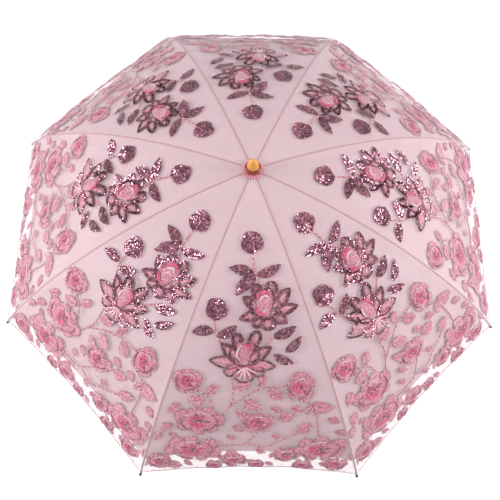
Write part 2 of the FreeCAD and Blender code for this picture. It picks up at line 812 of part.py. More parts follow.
make_parasol()
doc.recompute()
check_and_export()
print(f"link {LINK:.4f} mm, open angle {math.degrees(OPEN_ANGLE):.4f} deg, fold {math.degrees(FOLD):.4f} deg")
print(f"pivots at {PIVOT_Z:.4f} mm, runner crown at {RUNNER_Z:.4f} mm, ledges {TOP_LEDGE_Z:.4f} {LOWER_LEDGE_Z:.4f}")
print(f"lug at {LUG.x:.4f} {LUG.z:.4f} mm, catch pins at {catch_pin_heights()}")
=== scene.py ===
"""Lace parasol: a satin-lined sunshade with a sequinned and embroidered net over eight sprung ribs."""
import json
import logging
import math
import random
from dataclasses import dataclass, field
from enum import Enum
from functools import cached_property

import bpy
import numpy as np
from mathutils import Matrix, Vector

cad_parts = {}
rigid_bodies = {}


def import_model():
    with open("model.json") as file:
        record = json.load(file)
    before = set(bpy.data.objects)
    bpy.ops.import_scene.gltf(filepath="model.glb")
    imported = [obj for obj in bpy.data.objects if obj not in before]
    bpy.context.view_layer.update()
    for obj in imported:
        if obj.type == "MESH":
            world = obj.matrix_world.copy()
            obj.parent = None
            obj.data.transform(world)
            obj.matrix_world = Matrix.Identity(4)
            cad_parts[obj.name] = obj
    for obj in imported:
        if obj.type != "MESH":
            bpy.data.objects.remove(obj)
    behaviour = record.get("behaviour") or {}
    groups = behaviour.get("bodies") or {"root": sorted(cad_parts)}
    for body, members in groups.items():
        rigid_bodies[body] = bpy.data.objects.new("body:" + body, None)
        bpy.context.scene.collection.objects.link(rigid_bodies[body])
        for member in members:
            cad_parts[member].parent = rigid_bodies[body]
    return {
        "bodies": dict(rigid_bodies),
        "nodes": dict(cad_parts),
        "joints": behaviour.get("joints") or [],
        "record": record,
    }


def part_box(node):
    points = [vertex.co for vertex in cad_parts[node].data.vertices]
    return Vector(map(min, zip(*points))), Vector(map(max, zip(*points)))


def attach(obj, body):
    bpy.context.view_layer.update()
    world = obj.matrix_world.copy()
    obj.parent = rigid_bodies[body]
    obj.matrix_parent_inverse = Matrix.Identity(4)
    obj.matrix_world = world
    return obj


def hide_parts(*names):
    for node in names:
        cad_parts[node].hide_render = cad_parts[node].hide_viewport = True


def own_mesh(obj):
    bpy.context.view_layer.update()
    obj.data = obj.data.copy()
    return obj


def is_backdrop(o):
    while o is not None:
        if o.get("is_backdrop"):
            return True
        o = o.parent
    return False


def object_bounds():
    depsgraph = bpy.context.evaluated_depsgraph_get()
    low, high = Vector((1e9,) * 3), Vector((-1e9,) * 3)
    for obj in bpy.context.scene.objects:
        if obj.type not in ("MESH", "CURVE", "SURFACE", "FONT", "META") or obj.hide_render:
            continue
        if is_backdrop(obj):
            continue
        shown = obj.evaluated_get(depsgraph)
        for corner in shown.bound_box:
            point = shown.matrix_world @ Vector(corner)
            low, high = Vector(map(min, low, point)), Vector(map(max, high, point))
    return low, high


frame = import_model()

LOG = logging.getLogger("parasol")
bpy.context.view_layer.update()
MM = 0.001


def tint(red: int, green: int, blue: int) -> tuple[float, float, float, float]:
    """A dye's colour on the 0 to 255 scale, as the linear colour that a shader takes."""
    parts = []
    for part in (red, green, blue):
        share = part / 255
        parts.append(share / 12.92 if share <= 0.04045 else ((share + 0.055) / 1.055) ** 2.4)
    return (parts[0], parts[1], parts[2], 1.0)


Spot = tuple[float, float]


def between(one: Spot, two: Spot, share: float) -> Spot:
    """The spot a share of the way from one spot to another."""
    return (one[0] + (two[0] - one[0]) * share, one[1] + (two[1] - one[1]) * share)


def around(center: Spot, across: float, down: float, turn: float) -> Spot:
    """The spot at an angle on an oval round a centre."""
    return (center[0] + across * math.cos(turn), center[1] + down * math.sin(turn))


# ---- Node groups and finishes --------------------------------------------------------------------


class Bench:
    """Lays nodes in one node tree and joins them."""

    def __init__(self, tree: bpy.types.NodeTree) -> None:
        """Keep the tree that the nodes go into."""
        self.tree = tree

    def add(self, kind: str, **settings: object) -> bpy.types.Node:
        """Add a node and set its plain properties.

        Args:
            kind: The node's type name.
            settings: Properties of the node.

        Returns:
            The new node.
        """
        node = self.tree.nodes.new(kind)
        for name, value in settings.items():
            setattr(node, name, value)
        return node

    def feed(self, socket: bpy.types.NodeSocket, value: object) -> None:
        """Join a socket to another, or set its own value."""
        if isinstance(value, bpy.types.NodeSocket):
            self.tree.links.new(value, socket)
        else:
            socket.default_value = value

    def sum(self, operation: str, first: object, second: object = None) -> bpy.types.NodeSocket:
        """One step of arithmetic on a value.

        Args:
            operation: A Math node's operation.
            first: A socket or a number.
            second: A socket or a number, where the operation takes two.

        Returns:
            The result's socket.
        """
        node = self.add("ShaderNodeMath", operation=operation)
        self.feed(node.inputs[0], first)
        if second is not None:
            self.feed(node.inputs[1], second)
        return node.outputs[0]

    def blend(self, share: object, first: object, second: object) -> bpy.types.NodeSocket:
        """Mix two colours.

        Args:
            share: How much of the second colour shows, from 0 to 1.
            first: A socket or a colour.
            second: A socket or a colour.

        Returns:
            The mixed colour's socket.
        """
        node = self.add("ShaderNodeMix", data_type="RGBA")
        self.feed(node.inputs[0], share)
        self.feed(node.inputs[6], first)
        self.feed(node.inputs[7], second)
        return node.outputs[2]

    def effect(self, effect: "Effect", **inputs: object) -> bpy.types.Node:
        """Place a shared effect's node group, with its inputs set or joined by name."""
        node = self.add("ShaderNodeGroup")
        node.node_tree = EFFECTS.get(effect)
        for name, value in inputs.items():
            self.feed(node.inputs[name], value)
        return node

    def map(self, kind: str) -> bpy.types.NodeSocket:
        """The piece's own places: Object, or the cloth's UV map in metres."""
        return self.add("ShaderNodeTexCoord").outputs[kind]

    def bump(self, shader: bpy.types.Node, height: object, strength: float, distance: float) -> None:
        """Raise the surface under a shader.

        Args:
            shader: The Principled shader.
            height: The height's socket.
            strength: How strong the relief is.
            distance: Its depth in metres.
        """
        node = self.add("ShaderNodeBump")
        node.inputs["Strength"].default_value = strength
        node.inputs["Distance"].default_value = distance
        self.feed(node.inputs["Height"], height)
        self.feed(shader.inputs["Normal"], node.outputs["Normal"])

    def darker(self, color: object, value: float) -> bpy.types.NodeSocket:
        """A colour at a share of its brightness."""
        node = self.add("ShaderNodeHueSaturation")
        self.feed(node.inputs["Color"], color)
        node.inputs["Value"].default_value = value
        return node.outputs["Color"]


class Effect(Enum):
    """Surface effects that several finishes share."""

    LINES = "fine_lines"
    CLOUD = "cloudy_tone"
    NET = "net_threads"


class Effects:
    """Builds each shared node group once."""

    def __init__(self) -> None:
        """Start with no group built."""
        self.built: dict[Effect, bpy.types.NodeTree] = {}

    def get(self, effect: Effect) -> bpy.types.NodeTree:
        """The node group of an effect, built at its first use."""
        if effect not in self.built:
            self.built[effect] = getattr(self, effect.value)()
        return self.built[effect]

    def start(self, effect: Effect, inputs: dict[str, tuple[str, object]],
              outputs: dict[str, str]) -> tuple:
        """Make an empty group with its sockets.

        Args:
            effect: The effect that the group is for.
            inputs: Socket type and starting value by input name.
            outputs: Socket type by output name.

        Returns:
            The group, a bench on it, its input node and its output node.
        """
        group = bpy.data.node_groups.new(effect.value, "ShaderNodeTree")
        for name, (kind, value) in inputs.items():
            made = group.interface.new_socket(name=name, in_out="INPUT", socket_type=kind)
            if value is not None:
                made.default_value = value
        for name, kind in outputs.items():
            group.interface.new_socket(name=name, in_out="OUTPUT", socket_type=kind)
        bench = Bench(group)
        return group, bench, bench.add("NodeGroupInput"), bench.add("NodeGroupOutput")

    def line_wave(self, bench: Bench, vector: object, pitch: object, angle: object) -> bpy.types.NodeSocket:
        """A wave from -1 to 1 across lines that lie at an angle on the cloth's own map."""
        split = bench.add("ShaderNodeSeparateXYZ")
        bench.feed(split.inputs[0], vector)
        one = bench.sum("MULTIPLY", split.outputs[0], bench.sum("COSINE", angle))
        two = bench.sum("MULTIPLY", split.outputs[1], bench.sum("SINE", angle))
        turns = bench.sum("DIVIDE", bench.sum("ADD", one, two), pitch)
        return bench.sum("SINE", bench.sum("MULTIPLY", turns, 2 * math.pi))

    def fine_lines(self) -> bpy.types.NodeTree:
        """Parallel ridges, as in a twill or a run of satin stitch."""
        group, bench, given, out = self.start(
            Effect.LINES,
            {"Vector": ("NodeSocketVector", None), "Pitch": ("NodeSocketFloat", 0.001),
             "Angle": ("NodeSocketFloat", 0.0)},
            {"Height": "NodeSocketFloat"})
        wave = self.line_wave(bench, *(given.outputs[name] for name in ("Vector", "Pitch", "Angle")))
        bench.feed(out.inputs["Height"], bench.sum("MULTIPLY", bench.sum("ADD", wave, 1.0), 0.5))
        return group

    def cloudy_tone(self) -> bpy.types.NodeTree:
        """A colour that drifts lighter and darker in soft clouds."""
        group, bench, given, out = self.start(
            Effect.CLOUD,
            {"Vector": ("NodeSocketVector", None), "Color": ("NodeSocketColor", None),
             "Scale": ("NodeSocketFloat", 30.0), "Amount": ("NodeSocketFloat", 0.1)},
            {"Color": "NodeSocketColor", "Value": "NodeSocketFloat"})
        noise = bench.add("ShaderNodeTexNoise")
        bench.feed(noise.inputs["Vector"], given.outputs["Vector"])
        bench.feed(noise.inputs["Scale"], given.outputs["Scale"])
        noise.inputs["Detail"].default_value = 3.0
        swing = bench.sum("SUBTRACT", noise.outputs["Fac"], 0.5)
        drift = bench.sum("MULTIPLY", swing, given.outputs["Amount"])
        shade = bench.add("ShaderNodeHueSaturation")
        bench.feed(shade.inputs["Color"], given.outputs["Color"])
        bench.feed(shade.inputs["Value"], bench.sum("ADD", bench.sum("MULTIPLY", drift, 2.0), 1.0))
        bench.feed(out.inputs["Color"], shade.outputs["Color"])
        bench.feed(out.inputs["Value"], noise.outputs["Fac"])
        return group

    def net_threads(self) -> bpy.types.NodeTree:
        """A mask of a diamond net: 1 on its threads, 0 in its holes."""
        group, bench, given, out = self.start(
            Effect.NET,
            {"Vector": ("NodeSocketVector", None), "Pitch": ("NodeSocketFloat", 0.0012),
             "Thread": ("NodeSocketFloat", 0.2)},
            {"Mask": "NodeSocketFloat"})
        families = []
        for angle in (math.radians(32), math.radians(-32)):
            wave = self.line_wave(bench, given.outputs["Vector"], given.outputs["Pitch"], angle)
            limit = bench.sum("SUBTRACT", 1.0, given.outputs["Thread"])
            families.append(bench.sum("GREATER_THAN", wave, limit))
        bench.feed(out.inputs["Mask"], bench.sum("MAXIMUM", families[0], families[1]))
        return group


EFFECTS = Effects()


def new_material(name: str) -> tuple[bpy.types.Material, Bench, bpy.types.Node]:
    """A material with one Principled shader.

    Args:
        name: The material's name.

    Returns:
        The material, a bench on its nodes and its shader.
    """
    material = bpy.data.materials.new(name)
    material.use_nodes = True
    bench = Bench(material.node_tree)
    return material, bench, material.node_tree.nodes["Principled BSDF"]


@dataclass(frozen=True)
class SatinFinish:
    """Woven satin with fine slanting lines, on the cloth's own map in metres; the lines' grooves carry
    painted shade.
    """

    name: str
    color: tuple[float, float, float, float]
    rough: float = 0.42
    sheen: float = 0.35

    def build(self) -> bpy.types.Material:
        """Make the satin's material."""
        material, bench, shader = new_material(self.name)
        place = bench.map("UV")
        cloud = bench.effect(Effect.CLOUD, Vector=place, Color=self.color, Scale=9.0, Amount=0.05)
        twill = bench.effect(Effect.LINES, Vector=place, Pitch=0.0021, Angle=math.radians(38))
        # Painted shade: the twill's grooves are 7% darker than its ridges.
        twill_groove_shade = bench.darker(cloud.outputs["Color"], 0.93)
        bench.feed(shader.inputs["Base Color"],
                   bench.blend(twill.outputs["Height"], twill_groove_shade, cloud.outputs["Color"]))
        weave = bench.effect(Effect.LINES, Vector=place, Pitch=0.0005, Angle=math.radians(-50))
        ridge = bench.sum("MULTIPLY", twill.outputs["Height"], 2.0)
        bench.bump(shader, bench.sum("ADD", weave.outputs["Height"], ridge), 0.25, 0.0001)
        shader.inputs["Roughness"].default_value = self.rough
        shader.inputs["Sheen Weight"].default_value = self.sheen
        shader.inputs["Sheen Roughness"].default_value = 0.4
        shader.inputs["Specular IOR Level"].default_value = 0.35
        return material


@dataclass(frozen=True)
class NetFinish:
    """Fine tulle: threads with holes between them."""

    name: str
    color: tuple[float, float, float, float]
    pitch: float = 0.0013
    thread: float = 0.22

    def build(self) -> bpy.types.Material:
        """Make the net's material."""
        material, bench, shader = new_material(self.name)
        place = bench.map("UV")
        mask = bench.effect(Effect.NET, Vector=place, Pitch=self.pitch, Thread=self.thread)
        cloud = bench.effect(Effect.CLOUD, Vector=place, Color=self.color, Scale=60.0, Amount=0.12)
        bench.feed(shader.inputs["Base Color"], cloud.outputs["Color"])
        bench.feed(shader.inputs["Alpha"], mask.outputs["Mask"])
        shader.inputs["Roughness"].default_value = 0.6
        shader.inputs["Sheen Weight"].default_value = 0.3
        return material


@dataclass(frozen=True)
class ThreadFinish:
    """Satin stitch: glossy floss laid side by side, with its stitches across each petal; the gaps between the
    floss lines are darkened as painted shade, and the deep colour also mottles the floss.
    """

    name: str
    color: tuple[float, float, float, float]
    deep_and_gap_shade: tuple[float, float, float, float]
    pale: tuple[float, float, float, float]
    pitch: float = 0.0009
    rough: float = 0.38

    def build(self) -> bpy.types.Material:
        """Make the floss's material."""
        material, bench, shader = new_material(self.name)
        place = bench.map("UV")
        floss = bench.effect(Effect.LINES, Vector=place, Pitch=self.pitch, Angle=math.radians(12))
        cloud = bench.effect(Effect.CLOUD, Vector=place, Color=self.color, Scale=260.0, Amount=0.3)
        tone = bench.add("ShaderNodeAttribute", attribute_name="tone")
        # Painted shade: the gaps between floss lines darken toward the deep colour, by the face's random
        # tone.
        share = bench.sum("MULTIPLY", bench.sum("SUBTRACT", 1.0, floss.outputs["Height"]),
                          bench.sum("ADD", bench.sum("MULTIPLY", tone.outputs["Fac"], 0.35), 0.2))
        fleck = bench.add("ShaderNodeTexNoise")
        bench.feed(fleck.inputs["Vector"], bench.map("Object"))
        fleck.inputs["Scale"].default_value = 420.0
        fleck.inputs["Detail"].default_value = 2.0
        ramp = bench.add("ShaderNodeValToRGB")
        ramp.color_ramp.elements[0].position, ramp.color_ramp.elements[0].color = 0.38, self.deep_and_gap_shade
        ramp.color_ramp.elements[1].position, ramp.color_ramp.elements[1].color = 0.64, self.pale
        middle = ramp.color_ramp.elements.new(0.5)
        middle.color = self.color
        bench.feed(ramp.inputs["Fac"], fleck.outputs["Fac"])
        mottled = bench.blend(0.7, cloud.outputs["Color"], ramp.outputs["Color"])
        bench.feed(shader.inputs["Base Color"], bench.blend(share, mottled, self.deep_and_gap_shade))
        bench.bump(shader, floss.outputs["Height"], 0.6, 0.0003)
        shader.inputs["Roughness"].default_value = self.rough
        shader.inputs["Sheen Weight"].default_value = 0.4
        shader.inputs["Specular IOR Level"].default_value = 0.6
        return material


@dataclass(frozen=True)
class SequinFinish:
    """Cupped foil sequins, each at random between dark foil and a pale colour; the pale end is painted glint.
    """

    name: str
    dark: tuple[float, float, float, float]
    # light: a pale pink that is painted glint on the sequins that take much of it
    light: tuple[float, float, float, float]
    metal: float = 0.72
    rough: float = 0.16

    def build(self) -> bpy.types.Material:
        """Make the foil's material."""
        material, bench, shader = new_material(self.name)
        # Each sequin's random tone mixes the dark foil toward the pale painted glint.
        tone = bench.add("ShaderNodeAttribute", attribute_name="tone")
        bench.feed(shader.inputs["Base Color"], bench.blend(tone.outputs["Fac"], self.dark, self.light))
        place = bench.map("Object")
        worn = bench.effect(Effect.CLOUD, Vector=place, Color=self.dark, Scale=400.0, Amount=0.2)
        bench.feed(shader.inputs["Roughness"],
                   bench.sum("ADD", bench.sum("MULTIPLY", worn.outputs["Value"], 0.12), self.rough - 0.05))
        shader.inputs["Metallic"].default_value = self.metal
        shader.inputs["Coat Weight"].default_value = 1.0
        shader.inputs["Coat Roughness"].default_value = 0.08
        return material


@dataclass(frozen=True)
class HardFinish:
    """Lacquer, moulded plastic, enamel or bare metal, with faint wear and unevenness."""

    name: str
    color: tuple[float, float, float, float]
    metal: float = 0.0
    rough: float = 0.3
    coat: float = 0.0
    drift: float = 0.08
    scale: float = 120.0
    grain: float = 0.0

    def build(self) -> bpy.types.Material:
        """Make the hard finish's material."""
        material, bench, shader = new_material(self.name)
        place = bench.map("Object")
        cloud = bench.effect(Effect.CLOUD, Vector=place, Color=self.color, Scale=self.scale,
                            Amount=self.drift)
        base = cloud.outputs["Color"]
        if self.grain:
            stretch = bench.add("ShaderNodeMapping")
            stretch.inputs["Scale"].default_value = (420.0, 420.0, 26.0)
            bench.feed(stretch.inputs["Vector"], place)
            streak = bench.add("ShaderNodeTexNoise")
            streak.inputs["Scale"].default_value = 1.0
            streak.inputs["Detail"].default_value = 4.0
            bench.feed(streak.inputs["Vector"], stretch.outputs["Vector"])
            base = bench.blend(streak.outputs["Fac"], base, bench.darker(base, 1 - self.grain))
        bench.feed(shader.inputs["Base Color"], base)
        bench.feed(shader.inputs["Roughness"],
                   bench.sum("ADD", bench.sum("MULTIPLY", cloud.outputs["Value"], 0.14), self.rough - 0.07))
        shader.inputs["Metallic"].default_value = self.metal
        shader.inputs["Coat Weight"].default_value = self.coat
        shader.inputs["Coat Roughness"].default_value = 0.06
        return material


class Finishes:
    """Every finish of the parasol, each made into a material once."""

    def __init__(self) -> None:
        """Name and build the finishes."""
        pale = tint(255, 250, 250)
        self.satin = SatinFinish("satin_lining", tint(242, 220, 225)).build()
        self.seam = SatinFinish("satin_seam", tint(204, 164, 174), rough=0.45).build()
        self.frill = SatinFinish("satin_frill", tint(238, 166, 176), rough=0.45).build()
        self.net = NetFinish("tulle_net", tint(222, 190, 199), thread=0.24).build()
        self.flosses = [ThreadFinish(name, color, deep_and_gap_shade, light).build() for name, color, deep_and_gap_shade, light in (
            ("floss_pink", tint(222, 144, 166), tint(176, 84, 112), tint(246, 200, 212)),
            ("floss_hot_pink", tint(224, 78, 122), tint(168, 36, 80), tint(240, 140, 168)),
            ("floss_white", tint(248, 226, 232), tint(226, 170, 186), pale),
            ("floss_wine", tint(168, 84, 108), tint(112, 44, 66), tint(214, 140, 160)))]
        # The sequins' second colour is a pale painted glint, not a second foil colour.
        self.sequin = SequinFinish("sequin_wine", tint(94, 28, 50), tint(236, 160, 184)).build()
        amber, red_brown, ivory = tint(236, 164, 72), tint(150, 54, 40), tint(230, 224, 218)
        self.amber = HardFinish("amber_lacquer", amber, rough=0.3, coat=0.3, drift=0.1, grain=0.12).build()
        self.dark_wood = HardFinish("red_brown_lacquer", red_brown, rough=0.3, coat=0.5, grain=0.3).build()
        self.brass = HardFinish("polished_brass", tint(214, 170, 96), metal=1.0, rough=0.24).build()
        self.cream = HardFinish("cream_lacquer", tint(238, 234, 228), coat=0.4, drift=0.04).build()
        self.enamel = HardFinish("cream_enamel", ivory, rough=0.36, coat=0.2, drift=0.06).build()
        self.steel = HardFinish("bright_steel", tint(196, 196, 198), metal=1.0, rough=0.3).build()
        self.moulded = HardFinish("moulded_cream", tint(236, 230, 226), rough=0.42, drift=0.04).build()
        self.black = HardFinish("black_gloss", tint(18, 18, 20), rough=0.2, coat=0.5, drift=0.3).build()


# ---- The cover's form ----------------------------------------------------------------------------


@dataclass(frozen=True)
class CoverForm:
    """The shape of the stretched cover: gores that are flat across, between ribs bent to one arc."""

    pivot_radius: float
    pivot_height: float
    bend: float = 0.610
    root_slope: float = math.radians(6)
    rise: float = 0.0035
    gores: int = 8
    inner_radius: float = 0.008
    hem_radius: float = 0.4262
    hem_middle: float = 0.4375
    lining_short: float = 0.031

    @classmethod
    def from_frame(cls, loaded: dict) -> "CoverForm":
        """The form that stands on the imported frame's first rib hinge."""
        hinge = next(j for j in loaded["joints"] if j["name"] == "rib_1_fold")
        x, y, z = hinge["pos_m"]
        return cls(pivot_radius=math.hypot(x, y), pivot_height=z)

    @cached_property
    def half_angle(self) -> float:
        """Half of one gore's share of the circle."""
        return math.pi / self.gores

    @cached_property
    def slope_table(self) -> tuple[np.ndarray, np.ndarray]:
        """Distance down a gore's middle against the rib's slope; it is 0 at the hinge circle."""
        low = math.asin(math.sin(self.root_slope) - (self.pivot_radius - 0.003) / self.bend)
        high = math.asin(math.sin(self.root_slope) + 0.44 / self.bend)
        slopes = np.linspace(low, high, 1500)
        rate = self.bend * np.sqrt((np.cos(slopes) * math.cos(self.half_angle)) ** 2 + np.sin(slopes) ** 2)
        down = np.concatenate([[0.0], np.cumsum((rate[1:] + rate[:-1]) / 2 * np.diff(slopes))])
        return down - np.interp(self.root_slope, slopes, down), slopes

    def rib_azimuth(self, rib: int) -> float:
        """Direction of a rib from the shaft."""
        return -math.pi / 2 - self.half_angle + 2 * self.half_angle * (rib - 1)

    def rib_across(self, rib: int) -> Vector:
        """Direction across a rib, level."""
        turn = self.rib_azimuth(rib)
        return Vector((-math.sin(turn), math.cos(turn), 0))

    def rib_pivot(self, rib: int) -> Vector:
        """A rib's hinge point."""
        turn = self.rib_azimuth(rib)
        return Vector((*around((0, 0), self.pivot_radius, self.pivot_radius, turn), self.pivot_height))

    def radius_at(self, down: np.ndarray) -> np.ndarray:
        """Distance from the shaft's axis to the ribs at a distance down the gore."""
        slope = np.interp(down, *self.slope_table)
        return self.pivot_radius + self.bend * (np.sin(slope) - math.sin(self.root_slope))

    def down_at(self, radius: float) -> float:
        """Distance down the gore at which the ribs are this far from the axis."""
        down, slopes = self.slope_table
        radii = self.pivot_radius + self.bend * (np.sin(slopes) - math.sin(self.root_slope))
        return float(np.interp(radius, radii, down))

    def half_width(self, down: np.ndarray) -> np.ndarray:
        """Half of the gore's width at a distance down it."""
        return self.radius_at(down) * math.sin(self.half_angle)

    def hem(self, share: np.ndarray, short: float = 0.0) -> np.ndarray:
        """Distance down to the hem, which is hollow between the rib tips.

        Args:
            share: Place across the gore, from -1 at one rib to 1 at the other.
            short: How far the edge stops short of the hem.

        Returns:
            The distances down.
        """
        corner = self.down_at(self.hem_radius)
        return self.hem_middle + (corner - self.hem_middle) * np.abs(share) ** 2.2 - short

    def lining_lift(self, across: np.ndarray, down: np.ndarray) -> np.ndarray:
        """Height of the lining over the ribs' line: it is taut and swells a little between the ribs."""
        share = across / np.maximum(self.half_width(down), 1e-4)
        swell = np.clip(1 - share ** 2, 0, 1) * np.clip(down / 0.25, 0, 1)
        return 0.0022 + 0.0016 * swell

    def net_lift(self, gore: int, across: np.ndarray, down: np.ndarray) -> np.ndarray:
        """Height of the net: sewn down at the ribs, loose and a little rippled between them."""
        share = across / np.maximum(self.half_width(down), 1e-4)
        free = np.clip(1 - share ** 2, 0, 1) * np.clip((down - 0.02) / 0.2, 0, 1)
        ripple = (np.sin(down * 61 + across * 23 + gore * 1.9)
                  + 0.7 * np.sin(across * 83 - down * 17 + gore * 0.8)
                  + 0.5 * np.sin(down * 140 + gore))
        return self.lining_lift(across, down) + 0.0006 + free * (0.0032 + 0.0009 * ripple)

    def place(self, gore: int, across: np.ndarray, down: np.ndarray, lift: np.ndarray) -> np.ndarray:
        """Carry flat cloth places onto the stretched cover.

        Args:
            gore: The gore's number.
            across: Places across the gore, from its middle.
            down: Places down the gore.
            lift: Heights over the ribs' line.

        Returns:
            Points in the row's frame, one to a line.
        """
        slope = np.interp(down, *self.slope_table)
        radius = self.pivot_radius + self.bend * (np.sin(slope) - math.sin(self.root_slope))
        height = self.pivot_height + self.rise + self.bend * (np.cos(slope) - math.cos(self.root_slope))
        edge = math.cos(self.half_angle)
        out, up = np.sin(slope), np.cos(slope) * edge
        size = np.hypot(out, up)
        reach = radius * edge + lift * out / size
        height = height + lift * up / size
        turn = self.rib_azimuth(gore) + self.half_angle
        x = reach * math.cos(turn) - across * math.sin(turn)
        y = reach * math.sin(turn) + across * math.cos(turn)
        return np.stack([x, y, height], axis=1)


class Side(Enum):
    """The two halves of a gore, each sewn to its own rib."""

    LEFT = -1
    RIGHT = 1


def grid_faces(rows: int, wide: int) -> list[tuple[int, ...]]:
    """Faces between rows of points.

    Args:
        rows: Rows of faces.
        wide: Points in each row.

    Returns:
        The faces, by point number.
    """
    return [(i * wide + j, (i + 1) * wide + j, (i + 1) * wide + j + 1, i * wide + j + 1)
            for i in range(rows) for j in range(wide - 1)]


def mesh_piece(name: str, points: np.ndarray, faces: list,
               grain: np.ndarray | None = None) -> bpy.types.Object:
    """A smooth mesh object from points and faces.

    Args:
        name: The piece's name.
        points: Corner places, one to a line.
        faces: Corner numbers of each face.
        grain: The cloth's own map at each corner place, in metres.

    Returns:
        The new object.
    """
    mesh = bpy.data.meshes.new(name)
    mesh.from_pydata([tuple(p) for p in points], [], faces)
    mesh.update()
    if grain is not None:
        layer = mesh.uv_layers.new(name="cloth")
        corners = np.zeros(len(mesh.loops), dtype=np.int32)
        mesh.loops.foreach_get("vertex_index", corners)
        layer.data.foreach_set("uv", np.asarray(grain, dtype=np.float32)[corners].ravel())
    mesh.polygons.foreach_set("use_smooth", [True] * len(mesh.polygons))
    piece = bpy.data.objects.new(name, mesh)
    bpy.context.scene.collection.objects.link(piece)
    return piece


# ---- Needlework, laid out flat -------------------------------------------------------------------


class Cut(Enum):
    """Outlines of a stitched shape: a pointed leaf, or a petal with a broad round end."""

    LEAF = "leaf"
    PETAL = "petal"


class Work(Enum):
    """Kinds of needlework; the value is the finish's place in an embroidered piece."""

    PINK = 0
    HOT = 1
    WHITE = 2
    WINE = 3
    SEQUIN = 4


# Spacing of the handwork, in millimetres.
SEQUIN_RADIUS = 1.45
SEQUIN_STEP = 2.2
SEQUIN_GAP = 1.75
ROW_STEP = 2.0
RIM_STEP = 1.9
RING_STEP = 2.3
RING_PITCH = 2.35
KNOT_STEP = 1.9


